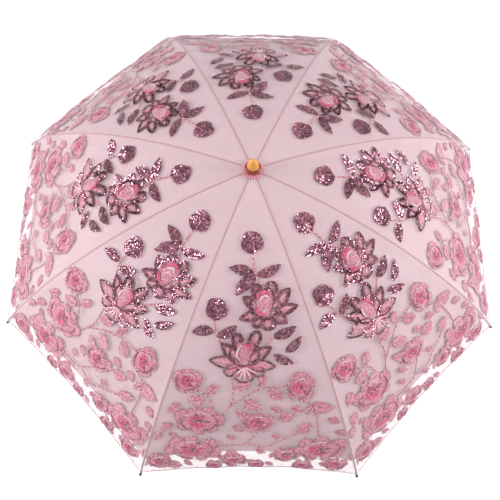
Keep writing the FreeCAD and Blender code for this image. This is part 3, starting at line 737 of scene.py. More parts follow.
@dataclass
class Needlework:
    """Stitches and sequins laid out flat, in millimetres across and down a gore and up from the net."""

    seed: int = 7
    cut: Cut = Cut.LEAF
    points: list = field(default_factory=list)
    grain: list = field(default_factory=list)
    faces: list = field(default_factory=list)
    works: list = field(default_factory=list)
    tones: list = field(default_factory=list)

    def __post_init__(self) -> None:
        """Start the seeded chance that varies the handwork."""
        self.chance = random.Random(self.seed)

    def add(self, points: list, faces: list, work: Work, tones: list, grain: list | None = None) -> None:
        """Add one shape.

        Args:
            points: Its corners as (across, down, lift).
            faces: Its faces, by corner number.
            work: The kind of needlework.
            tones: One tone to a face, from 0 to 1; it sets a sequin's share of the pale painted glint, and
                how deep the painted shade between a floss's stitches falls.
            grain: The thread's own map at each corner, or None for the flat places.
        """
        start = len(self.points)
        self.points.extend(points)
        self.grain.extend(grain or [(p[0], p[1]) for p in points])
        self.faces.extend(tuple(start + k for k in face) for face in faces)
        self.works.extend([work.value] * len(faces))
        self.tones.extend(tones)

    def join(self, other: "Needlework") -> None:
        """Take in another length of needlework."""
        start = len(self.points)
        self.points += other.points
        self.grain += other.grain
        self.faces += [tuple(k + start for k in face) for face in other.faces]
        self.works += other.works
        self.tones += other.tones

    def disc(self, spot: Spot, heading: float, radius: float = SEQUIN_RADIUS, lift: float = 0.9) -> None:
        """Sew on one cupped sequin that leans along its row."""
        tilt = math.radians(13) + self.chance.gauss(0, math.radians(10))
        roll = self.chance.gauss(0, math.radians(9))
        heading += self.chance.gauss(0, 0.25)
        ahead = (math.cos(heading), math.sin(heading))
        side = (-ahead[1], ahead[0])
        points = [(spot[0], spot[1], lift - 0.22)]
        for k in range(8):
            turn = k * math.pi / 4 + 0.3
            a, b = radius * math.cos(turn), radius * math.sin(turn)
            points.append((spot[0] + a * ahead[0] + b * side[0], spot[1] + a * ahead[1] + b * side[1],
                           lift + a * math.sin(tilt) + b * math.sin(roll)))
        # A random tone: how much of the pale painted glint this sequin shows.
        tone = min(1.0, max(0.0, self.chance.betavariate(1.3, 2.8)))
        self.add(points, [(0, 1 + k, 1 + (k + 1) % 8) for k in range(8)], Work.SEQUIN, [tone] * 8)

    def bead(self, spot: Spot, radius: float, work: Work, lift: float = 0.4) -> None:
        """Sew on one small round knot."""
        rim = [(*around(spot, radius, radius, k * math.pi / 3), lift) for k in range(6)]
        top = (spot[0], spot[1], lift + radius * 0.8)
        tone = self.chance.random()
        self.add([top] + rim, [(0, 1 + k, 1 + (k + 1) % 6) for k in range(6)], work, [tone] * 6)

    def leaf_spot(self, base: Spot, tip: Spot, width: float, along: float, share: float,
                  bow: float) -> Spot:
        """A place in a leaf: along it from base to tip, and across it from edge to edge."""
        dx, dy = tip[0] - base[0], tip[1] - base[1]
        length = math.hypot(dx, dy) or 1.0
        ax, ay = dx / length, dy / length
        along = min(max(along, 0.0), 1.0)
        if self.cut is Cut.LEAF:
            half = width / 2 * math.sin(math.pi * along ** 0.85) ** 0.75
        else:
            half = width / 2 * 1.12 * along ** 0.55 * (1 - along ** 3.4) ** 0.5
        offset = share * half + bow * length * math.sin(math.pi * along)
        return (base[0] + dx * along - ay * offset, base[1] + dy * along + ax * offset)

    def floss(self, base: Spot, tip: Spot, width: float, work: Work, lift: float = 0.3, height: float = 0.9,
              bow: float = 0.0) -> None:
        """Fill a leaf with raised satin stitch."""
        rows, cols = 9, 5
        length = math.dist(base, tip)
        points, grain = [], []
        for i in range(rows):
            along = i / (rows - 1)
            for j in range(cols):
                share = -1 + 2 * j / (cols - 1)
                x, y = self.leaf_spot(base, tip, width, along, share, bow)
                swell = math.sin(math.pi * min(max(along, 0.03), 0.97)) ** 0.5
                points.append((x, y, lift + height * (1 - share ** 2) * swell))
                grain.append((along * length, share * width / 2))
        faces = grid_faces(rows - 1, cols)
        self.add(points, faces, work, [self.chance.random()] * len(faces), grain)

    def outline(self, base: Spot, tip: Spot, width: float, works: tuple[Work, ...], bow: float = 0.0,
                step: float = KNOT_STEP, radius: float = 0.8) -> None:
        """Edge a leaf with small knots of floss in turn."""
        count = max(8, round((math.dist(base, tip) * 1.15 + width * 0.35) / step))
        for side in (-1, 1):
            for k in range(count):
                along = (1 - math.cos(math.pi * (k + 0.5) / count)) / 2
                spot = self.leaf_spot(base, tip, width, along, side * 1.04, bow)
                self.bead(spot, radius * self.chance.uniform(0.8, 1.2), works[k % len(works)], 0.7)

    def sequins(self, base: Spot, tip: Spot, width: float, bow: float = 0.0) -> None:
        """Cover a leaf with rows of sequins that follow its edges.

        Args:
            base: The leaf's foot.
            tip: The leaf's point.
            width: Its greatest width.
            bow: Sideways bend, as a share of the length.
        """
        length = math.dist(base, tip)
        heading = math.atan2(tip[1] - base[1], tip[0] - base[0])
        rows = max(1, round(width / 2.5))
        done: list[Spot] = []
        for row in range(rows):
            share = 0.0 if rows == 1 else -1 + 2 * row / (rows - 1)
            count = max(3, round(length * 1.12 / SEQUIN_STEP))
            for k in range(count + 1):
                spot = self.leaf_spot(base, tip, width * 0.94, k / count, share, bow)
                if any(math.dist(spot, other) < SEQUIN_GAP for other in done):
                    continue
                done.append(spot)
                self.disc(spot, heading - share * 0.5 * math.cos(math.pi * k / count))

    def ball(self, center: Spot, radius: float) -> None:
        """Cover a round bud with rings of sequins."""
        self.disc(center, 0.0, 1.5)
        ring, distance = 1, RING_STEP
        while distance < radius:
            count = round(2 * math.pi * distance / RING_PITCH)
            for k in range(count):
                turn = 2 * math.pi * (k + 0.5 * (ring % 2)) / count
                wave = 1 + 0.05 * math.sin(3 * turn + 1) + 0.04 * math.sin(5 * turn)
                self.disc(around(center, distance * wave, distance * wave, turn), turn + math.pi / 2)
            ring, distance = ring + 1, distance + RING_STEP

    def stem(self, spots: list[Spot], work: Work = Work.PINK, knots: Work = Work.WINE,
             width: float = 2.1) -> None:
        """Couch a cord along a smooth line, with knots along it."""
        line = smooth_line(spots, 3.0)
        points, grain, run = [], [], 0.0
        for k, (x, y) in enumerate(line):
            ahead = line[min(k + 1, len(line) - 1)]
            behind = line[max(k - 1, 0)]
            dx, dy = ahead[0] - behind[0], ahead[1] - behind[1]
            size = math.hypot(dx, dy) or 1.0
            nx, ny = -dy / size, dx / size
            for share, up in ((-1, 0.2), (-0.55, 0.8), (0.55, 0.8), (1, 0.2)):
                points.append((x + nx * share * width / 2, y + ny * share * width / 2, up))
                grain.append((run, share * width / 2))
            if k + 1 < len(line):
                run += math.dist(line[k], line[k + 1])
        faces = grid_faces(len(line) - 1, 4)
        self.add(points, faces, work, [self.chance.random() for _ in faces], grain)
        for k, spot in enumerate(smooth_line(spots, KNOT_STEP)):
            turn = self.chance.uniform(0, 2 * math.pi)
            self.bead(around(spot, 0.5, 0.5, turn), 1.15, (knots, Work.WHITE, knots, work)[k % 4], 0.6)

    def petal(self, base: Spot, tip: Spot, width: float, bow: float = 0.0, lift: float = 0.3) -> None:
        """One broad petal of a stitched flower, with a shaded foot and a knotted edge."""
        self.cut = Cut.PETAL
        self.floss(base, tip, width, Work.PINK, lift, 0.8, bow)
        self.outline(base, tip, width, (Work.WINE, Work.WHITE, Work.WINE, Work.PINK), bow)
        self.cut = Cut.LEAF
        vein = Work.HOT if self.chance.random() < 0.4 else Work.WINE
        self.floss(base, between(base, tip, 0.7), width * 0.22, vein, lift + 0.6, 0.5, bow)

    def thread_leaf(self, base: Spot, tip: Spot, width: float = 0.0) -> None:
        """A small pink stitched leaf with a vein and a faint knotted edge."""
        length = math.dist(base, tip)
        width = width or max(8.0, length * 0.62)
        bow = self.chance.uniform(-0.14, 0.14)
        self.floss(base, tip, width, Work.PINK, 0.3, 0.8, bow)
        self.outline(base, tip, width, (Work.PINK, Work.WINE, Work.PINK, Work.WHITE), bow, 2.1, 0.75)
        self.floss(between(base, tip, 0.1), between(base, tip, 0.8), 1.6, Work.WINE, 0.9, 0.3, bow)

    def crescent(self, center: Spot, width: float, height: float, start: float, end: float, thick: float,
                 work: Work, lift: float) -> None:
        """A curved band of satin stitch round a flower's heart.

        Args:
            center: The heart's middle.
            width: The band's oval, across.
            height: The band's oval, down.
            start: Where the band starts, in radians.
            end: Where it ends.
            thick: Its greatest width.
            work: Its floss.
            lift: Its height over the net.
        """
        steps, points, grain = 14, [], []
        for k in range(steps + 1):
            turn = start + (end - start) * k / steps
            swell = thick / 2 * max(0.12, math.sin(math.pi * k / steps)) ** 0.8
            for share, up in ((-1, 0.0), (0, 0.6), (1, 0.0)):
                points.append((center[0] + (width / 2 + share * swell) * math.cos(turn),
                               center[1] + (height / 2 + share * swell) * math.sin(turn), lift + up))
                grain.append((k * 2.0, share * swell))
        faces = grid_faces(steps, 3)
        self.add(points, faces, work, [self.chance.random()] * len(faces), grain)

    def blossom(self, center: Spot, width: float, height: float, petals: int = 6) -> None:
        """A full stitched flower: two rounds of petals and a curled hot pink heart."""
        start = self.chance.uniform(0, 1)
        for ring, (reach, lift) in enumerate(((1.0, 0.3), (0.66, 1.0))):
            count = petals if ring == 0 else max(3, petals - 2)
            for k in range(count):
                turn = start + 2 * math.pi * (k + 0.5 * ring) / count + self.chance.uniform(-0.12, 0.12)
                far = reach * self.chance.uniform(0.92, 1.04)
                tip = around(center, width / 2 * far, height / 2 * far, turn)
                base = around(center, width * 0.04, height * 0.04, turn)
                broad = 2 * math.pi * math.sqrt(width * height) / 2 * reach / count * 0.92
                self.petal(base, tip, broad, self.chance.uniform(-0.1, 0.1), lift)
        wide, tall = width * 0.36, height * 0.4
        self.crescent(center, wide, tall, start, start + 3.6, min(wide, tall) * 0.34, Work.HOT, 1.8)
        self.crescent(center, wide * 0.5, tall * 0.5, start + 2.0, start + 5.0, min(wide, tall) * 0.22,
                      Work.HOT, 2.0)
        self.crescent(center, wide * 1.45, tall * 1.45, start + 3.4, start + 4.8, 1.6, Work.WHITE, 1.8)
        self.crescent(center, wide * 1.9, tall * 1.8, start + 5.2, start + 7.0, 2.0, Work.WINE, 1.8)
        self.crescent(center, wide * 2.1, tall * 2.0, start + 1.2, start + 2.8, 2.0, Work.WINE, 1.8)

    def wine_petal(self, base: Spot, tip: Spot, width: float, fill: float = 0.45, rows: int = 2,
                   since: float = 0.35, lift: float = 0.3, cut: Cut = Cut.PETAL) -> None:
        """One petal of a sequinned rose: sequins along its curled rim over a stitched middle.

        Args:
            base: The petal's foot.
            tip: The middle of its round end.
            width: Its greatest width.
            fill: The share of its width that pink floss fills.
            rows: Rows of sequins along the rim.
            since: Where the rim starts, as a share of the way from foot to end.
            lift: Its height over the net.
            cut: Its outline.
        """
        self.cut = cut
        self.floss(base, between(base, tip, 0.86), width * fill, Work.PINK, lift, 0.7)
        mid = between(base, tip, 0.7)
        for row in range(rows):
            count = max(6, round((math.dist(base, tip) * 1.1 * (1 - since) + width * 0.45) / RIM_STEP))
            for side in (-1, 1):
                for k in range(count):
                    along = since + (1 - since) * math.sin(math.pi / 2 * (k + 0.5) / count)
                    near = self.leaf_spot(base, tip, width, along, side, 0.0)
                    after = self.leaf_spot(base, tip, width, min(along + 0.03, 1.0), side, 0.0)
                    pull = ROW_STEP * row / max(math.dist(near, mid), ROW_STEP)
                    heading = math.atan2(after[1] - near[1], after[0] - near[0])
                    self.disc(between(near, mid, pull), heading, lift=lift + 0.8)
        self.cut = Cut.LEAF

    def rim(self, center: Spot, wide: float, tall: float, start: float, end: float, rows: int,
            lift: float) -> None:
        """A curled inner petal: rows of sequins on an arc round the heart.

        Args:
            center: The heart's middle.
            wide: The arc's reach across.
            tall: The arc's reach down.
            start: Where it starts, in degrees.
            end: Where it ends.
            rows: Rows of sequins.
            lift: Its height over the net.
        """
        for row in range(rows):
            across, down = wide - ROW_STEP * row, tall - ROW_STEP * row
            length = math.radians(abs(end - start)) * (across + down) / 2
            count = max(3, round(length / ROW_STEP))
            for k in range(count + 1):
                turn = math.radians(start + (end - start) * k / count)
                self.disc(around(center, across, down, turn), turn + math.pi / 2, lift=lift)


def smooth_line(spots: list[Spot], step: float) -> list[Spot]:
    """Even steps along a smooth line through a few spots.

    Args:
        spots: The spots, in order.
        step: Distance between the steps.

    Returns:
        The stepped line.
    """
    padded = [spots[0]] + list(spots) + [spots[-1]]
    fine = []
    for a, b, c, d in zip(padded, padded[1:], padded[2:], padded[3:]):
        for k in range(16):
            t = k / 16
            fine.append(tuple(0.5 * (2 * b[m] + (c[m] - a[m]) * t
                                     + (2 * a[m] - 5 * b[m] + 4 * c[m] - d[m]) * t ** 2
                                     + (3 * b[m] - a[m] - 3 * c[m] + d[m]) * t ** 3) for m in (0, 1)))
    fine.append(tuple(spots[-1]))
    runs = [0.0]
    for one, two in zip(fine, fine[1:]):
        runs.append(runs[-1] + math.dist(one, two))
    places = np.arange(0, runs[-1], step)
    xs = np.interp(places, runs, [p[0] for p in fine])
    ys = np.interp(places, runs, [p[1] for p in fine])
    return list(zip(xs.tolist(), ys.tolist()))


class Garden:
    """The garden of sequinned roses and stitched flowers that every gore carries."""

    def __init__(self) -> None:
        """Lay the whole pattern out flat."""
        self.work = Needlework()
        self.buds()
        self.upper_rose()
        self.lower_rose()
        self.flowers()
        self.leaves()
        self.stems()

    def buds(self) -> None:
        """Two dark sequinned buds with their stems and leaves, near the crown."""
        w = self.work
        w.stem([(1, 106), (5, 133), (14, 147)], Work.PINK, Work.HOT)
        w.stem([(-50, 196), (-47, 215), (-40, 230)], Work.PINK, Work.WINE)
        w.stem([(31, 216), (26, 220), (20, 227)], Work.PINK, Work.HOT)
        w.ball((0, 90), 15.5)
        w.ball((-47, 180), 15.5)
        for base, tip, width in (((3, 134), (-29, 124), 13), ((4, 136), (-21, 160), 15),
                                 ((8, 134), (38, 120), 12), ((-52, 210), (-79, 212), 13),
                                 ((-45, 217), (-20, 202), 12), ((31, 217), (60, 203), 13),
                                 ((48, 238), (68, 217), 11), ((32, 243), (57, 254), 11)):
            w.sequins(base, tip, width, bow=0.06)

    def upper_rose(self) -> None:
        """The dark rose, with thick sequinned petals and a stitched cup."""
        w = self.work
        for base, tip, width in (((21, 184), (24, 207), 25), ((18, 184), (4, 203), 18)):
            w.wine_petal(base, tip, width, 0.5, 2, 0.3, 0.3)
        for base, tip, width in (((26, 183), (48, 197), 16), ((15, 184), (-15, 192), 14),
                                 ((27, 183), (62, 174), 15), ((13, 180), (-11, 163), 15)):
            w.wine_petal(base, tip, width, 0.45, 2, 0.1, 0.5, Cut.LEAF)
        w.wine_petal((29, 178), (51, 151), 17, 0.4, 2, 0.1, 0.9, Cut.LEAF)
        for base, tip, width in (((14, 172), (4, 146), 18), ((23, 170), (28, 142), 21)):
            w.wine_petal(base, tip, width, 0.35, 2, 0.15, 0.9)
        w.rim((18, 172), 20, 23, 140, 250, 2, 1.9)
        w.rim((18, 172), 20, 22, -75, 50, 2, 1.9)
        w.cut = Cut.PETAL
        w.floss((18, 192), (17, 152), 29, Work.PINK, 1.5, 1.5)
        w.cut = Cut.LEAF
        w.outline((18, 192), (17, 152), 29, (Work.WHITE, Work.PINK), 0.0, 2.0, 0.9)
        w.crescent((18, 171), 22, 30, 3.4, 5.4, 6.0, Work.HOT, 2.9)
        w.crescent((17, 172), 23, 28, 1.3, 2.9, 5.5, Work.HOT, 2.9)
        w.crescent((18, 171), 15, 20, 3.2, 5.8, 2.4, Work.WHITE, 3.3)
        w.ball((17, 174), 6.5)
        w.crescent((17, 175), 8, 11, 0.4, 2.4, 2.0, Work.WHITE, 3.6)
        w.rim((20, 184), 17, 8, 15, 165, 2, 2.6)

    def lower_rose(self) -> None:
        """The second rose, with thinner sequinned edges over pink and white floss."""
        w = self.work
        for base, tip, width in (((-9, 256), (-9, 282), 34), ((-14, 256), (-35, 271), 19),
                                 ((-4, 256), (17, 271), 19)):
            w.wine_petal(base, tip, width, 0.85, 1, 0.25, 0.3)
        for base, tip, width in (((-14, 256), (-56, 251), 18), ((-3, 257), (33, 259), 16)):
            w.wine_petal(base, tip, width, 0.75, 1, 0.1, 0.6, Cut.LEAF)
        for base, tip, width in (((-16, 250), (-40, 226), 17), ((-2, 251), (27, 231), 17)):
            w.wine_petal(base, tip, width, 0.45, 2, 0.1, 0.8, Cut.LEAF)
        for base, tip, width in (((-14, 244), (-20, 212), 19), ((-5, 244), (10, 209), 20)):
            w.wine_petal(base, tip, width, 0.4, 2, 0.15, 0.9)
        w.rim((-9, 242), 20, 21, 150, 255, 1, 1.9)
        w.rim((-9, 242), 20, 21, -70, 40, 1, 1.9)
        w.cut = Cut.PETAL
        w.floss((-9, 260), (-10, 223), 26, Work.PINK, 1.5, 1.4)
        w.cut = Cut.LEAF
        w.outline((-9, 260), (-10, 223), 26, (Work.WHITE, Work.PINK), 0.0, 2.0, 0.9)
        w.crescent((-10, 239), 20, 26, 4.6, 6.6, 5.0, Work.HOT, 2.9)
        w.crescent((-10, 240), 18, 23, 2.2, 4.4, 2.6, Work.WHITE, 3.0)
        w.ball((-10, 241), 4.8)
        w.rim((-9, 251), 15, 7, 10, 170, 1, 2.6)
        for tip in ((-24, 274), (-16, 279), (-8, 280), (1, 277), (9, 270)):
            w.floss((-8, 260), tip, 2.2, Work.WHITE, 1.2, 0.5)
        for tip in ((-20, 277), (-3, 279), (5, 274), (-34, 264), (22, 262)):
            w.floss((-8, 260), tip, 2.0, Work.HOT, 1.2, 0.4)

    def flowers(self) -> None:
        """Stitched pink flowers over the lower half."""
        w = self.work
        w.blossom((-87, 283), 44, 38, 5)
        w.blossom((70, 290), 42, 46, 5)
        w.blossom((11, 348), 50, 32, 5)
        w.blossom((54, 410), 40, 30, 5)
        w.blossom((-71, 346), 75, 50, 7)
        w.blossom((-82, 400), 84, 48, 7)
        w.blossom((104, 399), 84, 48, 7)
        w.blossom((-22, 420), 44, 24, 5)
        w.blossom((10, 428), 30, 18, 4)
        w.blossom((128, 432), 40, 26, 5)
        w.blossom((-132, 428), 44, 30, 5)
        w.blossom((78, 432), 34, 20, 4)
        w.blossom((-52, 430), 28, 18, 4)

    def leaves(self) -> None:
        """Small stitched leaves between the flowers."""
        for base, tip in (((-60, 303), (-46, 288)), ((-64, 310), (-88, 314)), ((-21, 292), (1, 286)),
                          ((12, 289), (21, 273)), ((-8, 310), (16, 325)), ((45, 308), (25, 294)),
                          ((88, 319), (118, 325)), ((90, 320), (80, 336)), ((40, 342), (64, 336)),
                          ((67, 364), (89, 351)), ((33, 370), (46, 376)), ((-33, 374), (-20, 380)),
                          ((-111, 355), (-126, 369)), ((-38, 412), (-12, 411)), ((-6, 420), (6, 428)),
                          ((10, 396), (23, 403)), ((-132, 412), (-142, 425)), ((-100, 436), (-126, 432)),
                          ((122, 428), (138, 436)), ((-126, 372), (-138, 386)), ((-34, 428), (-20, 434)),
                          ((24, 424), (36, 432)), ((80, 432), (96, 437)), ((-64, 432), (-48, 428)),
                          ((124, 366), (140, 376)), ((-100, 320), (-116, 334)),
                          ((30, 414), (38, 402)), ((-46, 410), (-34, 420)), ((148, 410), (152, 426)),
                          ((-150, 424), (-156, 440)), ((104, 428), (116, 438)), ((-96, 424), (-84, 434)),
                          ((30, 324), (46, 330)), ((-24, 356), (-10, 366)), ((112, 344), (128, 352)),
                          ((-20, 330), (-4, 338)), ((58, 324), (74, 330)), ((-116, 372), (-104, 380))):
            self.work.thread_leaf(base, tip)

    def stems(self) -> None:
        """Couched stems that join the flowers, down to the hem."""
        w = self.work
        w.stem([(-26, 280), (-24, 306), (-31, 323), (-38, 338)])
        w.stem([(-31, 323), (-8, 305), (18, 292), (52, 288)])
        w.stem([(-77, 296), (-60, 306), (-52, 324)])
        w.stem([(70, 312), (88, 319), (96, 345), (100, 376)])
        w.stem([(-45, 392), (-19, 391), (-5, 386), (12, 364)])
        w.stem([(-5, 386), (20, 392), (40, 384), (67, 369), (90, 354)])
        w.stem([(-125, 432), (-112, 436), (-99, 437)])


# ---- The parasol's sub-assemblies ----------------------------------------------------------------


def dress(piece: bpy.types.Object, body: str, slot: str, material: bpy.types.Material,
          *nodes: str) -> bpy.types.Object:
    """Give a piece its finish, ride it on its body and let it stand for its nodes.

    Args:
        piece: The piece.
        body: The body that carries it.
        slot: The record's material slot; not used.
        material: Its finish.
        nodes: The nodes that it stands for.

    Returns:
        The piece.
    """
    piece.data.materials.append(material)
    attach(piece, body)
    if nodes:
        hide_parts(*nodes)
    return piece


@dataclass
class Cover:
    """The cover: satin lining, net, needlework, seams and hem, in halves that each follow a rib."""

    form: CoverForm
    finishes: Finishes
    keep: float = 0.3
    rows: int = 44
    cols: int = 12

    def rib_of(self, gore: int, side: Side) -> int:
        """The rib that a half gore is sewn to."""
        return gore if side is Side.LEFT else gore % self.form.gores + 1

    def follow(self, piece: bpy.types.Object, rib: int) -> None:
        """Ride a soft half on its rib, on a mesh of its own."""
        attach(piece, f"rib_body_{rib}")
        across = self.form.rib_across(rib)
        tuple(self.form.rib_pivot(rib))
        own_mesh(piece)

    def half_grid(self, side: Side, short: float) -> tuple[np.ndarray, np.ndarray, list]:
        """Places across and down one half of a gore, and the faces between them."""
        top = self.form.down_at(self.form.inner_radius)
        shares = np.linspace(0, 1, self.cols + 1) * side.value
        if side is Side.LEFT:
            shares = shares[::-1]
        steps = np.linspace(0, 1, self.rows + 1)
        share, step = np.meshgrid(shares, steps)
        down = top + step * (self.form.hem(share, short) - top)
        across = share * self.form.half_width(down)
        return across.ravel(), down.ravel(), grid_faces(self.rows, self.cols + 1)

    def flat_area(self, across: np.ndarray, down: np.ndarray, faces: list) -> float:
        """Area of the flat cut."""
        flat = np.stack([across, down], axis=1)
        a, b, c, d = (flat[[f[k] for f in faces]] for k in range(4))
        one, two = c - a, d - b
        return float(np.abs(one[:, 0] * two[:, 1] - one[:, 1] * two[:, 0]).sum() / 2)

    def cloth_half(self, gore: int, side: Side, net: bool) -> bpy.types.Object:
        """One half of the lining or of the net."""
        across, down, faces = self.half_grid(side, 0.0 if net else self.form.lining_short)
        lift = self.form.net_lift(gore, across, down) if net else self.form.lining_lift(across, down)
        points = self.form.place(gore, across, down, lift)
        grain = np.stack([across, down], axis=1)
        kind = "net" if net else "lining"
        piece = mesh_piece(f"{kind}_{gore}_{side.name.lower()}", points, faces, grain)
        piece.data.materials.append(self.finishes.net if net else self.finishes.satin)
        rib = self.rib_of(gore, side)
        self.follow(piece, rib)
        if not net and side is Side.LEFT:
            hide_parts(f"gore_{gore}")
        self.flat_area(across, down, faces)
        return piece

    def embroider(self, garden: Needlework, gore: int) -> None:
        """Sew the garden onto both halves of one gore's net."""
        flat = np.array(garden.points)
        across, down, up = flat[:, 0] * MM, flat[:, 1] * MM, flat[:, 2] * MM
        lift = self.form.net_lift(gore, across, down) + up
        points = self.form.place(gore, across, down, lift)
        grain = np.array(garden.grain) * MM
        limit = self.form.half_width(down) - 0.002
        share = np.clip(across / self.form.half_width(down), -1, 1)
        inside = (np.abs(across) < limit) & (down < self.form.hem(share) - 0.001)
        for side in Side:
            chosen = [n for n, face in enumerate(garden.faces)
                      if all(inside[k] for k in face)
                      and (sum(across[k] for k in face) >= 0) == (side is Side.RIGHT)]
            used = sorted({k for n in chosen for k in garden.faces[n]})
            number = {old: new for new, old in enumerate(used)}
            faces = [tuple(number[k] for k in garden.faces[n]) for n in chosen]
            piece = mesh_piece(f"needlework_{gore}_{side.name.lower()}", points[used], faces, grain[used])
            for material in (*self.finishes.flosses, self.finishes.sequin):
                piece.data.materials.append(material)
            piece.data.polygons.foreach_set("material_index", [garden.works[n] for n in chosen])
            # Each face's random tone: the sequins' share of painted glint and the floss's depth of painted
            # shade between stitches.
            tone = piece.data.attributes.new("tone", "FLOAT", "FACE")
            tone.data.foreach_set("value", [garden.tones[n] for n in chosen])
            flat_faces = [garden.works[n] < Work.SEQUIN.value for n in chosen]
            piece.data.polygons.foreach_set("use_smooth", flat_faces)
            piece.data.update()
            self.follow(piece, self.rib_of(gore, side))

    def seam(self, rib: int) -> bpy.types.Object:
        """The rolled seam that holds two gores to a rib."""
        form = self.form
        down = np.linspace(form.down_at(0.010), form.down_at(form.hem_radius), 60)
        slope = np.interp(down, *form.slope_table)
        radius = form.radius_at(down)
        height = form.pivot_height + form.rise + form.bend * (np.cos(slope) - math.cos(form.root_slope))
        turn = form.rib_azimuth(rib)
        out = np.array([math.cos(turn), math.sin(turn), 0.0])
        side = np.array([-math.sin(turn), math.cos(turn), 0.0])
        up = np.array([0.0, 0.0, 1.0])
        points, grain = [], []
        section = ((-1.5, 1.9), (-1.1, 2.8), (-0.3, 3.2), (0.0, 2.7), (0.3, 3.2), (1.1, 2.8), (1.5, 1.9))
        for k in range(len(down)):
            middle = radius[k] * out + height[k] * up
            normal = math.sin(slope[k]) * out + math.cos(slope[k]) * up
            for x, lift in section:
                points.append(middle + x * MM * side + lift * MM * normal)
                grain.append((x * MM, down[k]))
        faces = grid_faces(len(down) - 1, len(section))
        piece = mesh_piece(f"seam_{rib}", np.array(points), faces, np.array(grain))
        return dress(piece, f"rib_body_{rib}", "cover", self.finishes.seam)

    def hem_work(self) -> Needlework:
        """The knotted cord along the hem, laid out flat."""
        work = Needlework(seed=11)
        shares = np.linspace(-0.985, 0.985, 121)
        for k, share in enumerate(shares):
            down = float(self.form.hem(np.array(share)))
            across = float(share * self.form.half_width(np.array(down)))
            scallop = 1.2 * abs(math.sin(k * math.pi / 6))
            work.bead((across / MM, down / MM - 2.2 + scallop - 0.6), 1.3,
                      Work.PINK if k % 3 else Work.WINE, 0.2)
        return work

    def build(self) -> None:
        """Make every gore."""
        garden = Garden().work
        garden.join(self.hem_work())
        LOG.info("needlework: %d faces to a gore", len(garden.faces))
        for gore in range(1, self.form.gores + 1):
            for side in Side:
                for net in (False, True):
                    self.cloth_half(gore, side, net)
            self.embroider(garden, gore)
            self.seam(gore)
            LOG.info("gore %d: lining, net, needlework and seam", gore)


def deselect() -> None:
    """Leave nothing selected."""
    if bpy.context.object and bpy.context.object.mode != "OBJECT":
        bpy.ops.object.mode_set(mode="OBJECT")
    bpy.ops.object.select_all(action="DESELECT")


def turned(name: str, profile: list[Spot], segments: int = 40) -> bpy.types.Object:
    """Turn a solid piece on the shaft's axis, as on a lathe, from its foot up.

    Args:
        name: The piece's name.
        profile: Radius and height of each ring, in millimetres.
        segments: Steps round the piece.

    Returns:
        The closed, smooth piece.
    """
    deselect()
    radius, height = profile[0]
    bpy.ops.mesh.primitive_circle_add(vertices=segments, radius=radius * MM, fill_type="NGON",
                                      location=(0, 0, height * MM))
    piece = bpy.context.object
    piece.name = name
    bpy.ops.object.transform_apply(location=True, rotation=True, scale=True)
    bpy.ops.object.mode_set(mode="EDIT")
    bpy.ops.mesh.select_mode(type="FACE")
    bpy.ops.mesh.select_all(action="SELECT")
    for r, z in profile[1:]:
        bpy.ops.mesh.extrude_region_move(TRANSFORM_OT_translate={"value": (0, 0, (z - height) * MM)})
        bpy.ops.transform.resize(value=(r / radius, r / radius, 1), center_override=(0, 0, z * MM))
        radius, height = r, z
    bpy.ops.mesh.select_all(action="SELECT")
    bpy.ops.mesh.normals_make_consistent(inside=False)
    bpy.ops.object.mode_set(mode="OBJECT")
    bpy.ops.object.shade_smooth_by_angle(angle=math.radians(50))
    return piece


def arc_rings(low: Spot, high: Spot, bulge: float, steps: int = 8) -> list[Spot]:
    """Rings between two rings on a curve that swells outward by bulge millimetres."""
    rings = []
    for k in range(steps + 1):
        t = k / steps
        rings.append((low[0] + (high[0] - low[0]) * t + bulge * math.sin(math.pi * t),
                      low[1] + (high[1] - low[1]) * t))
    return rings


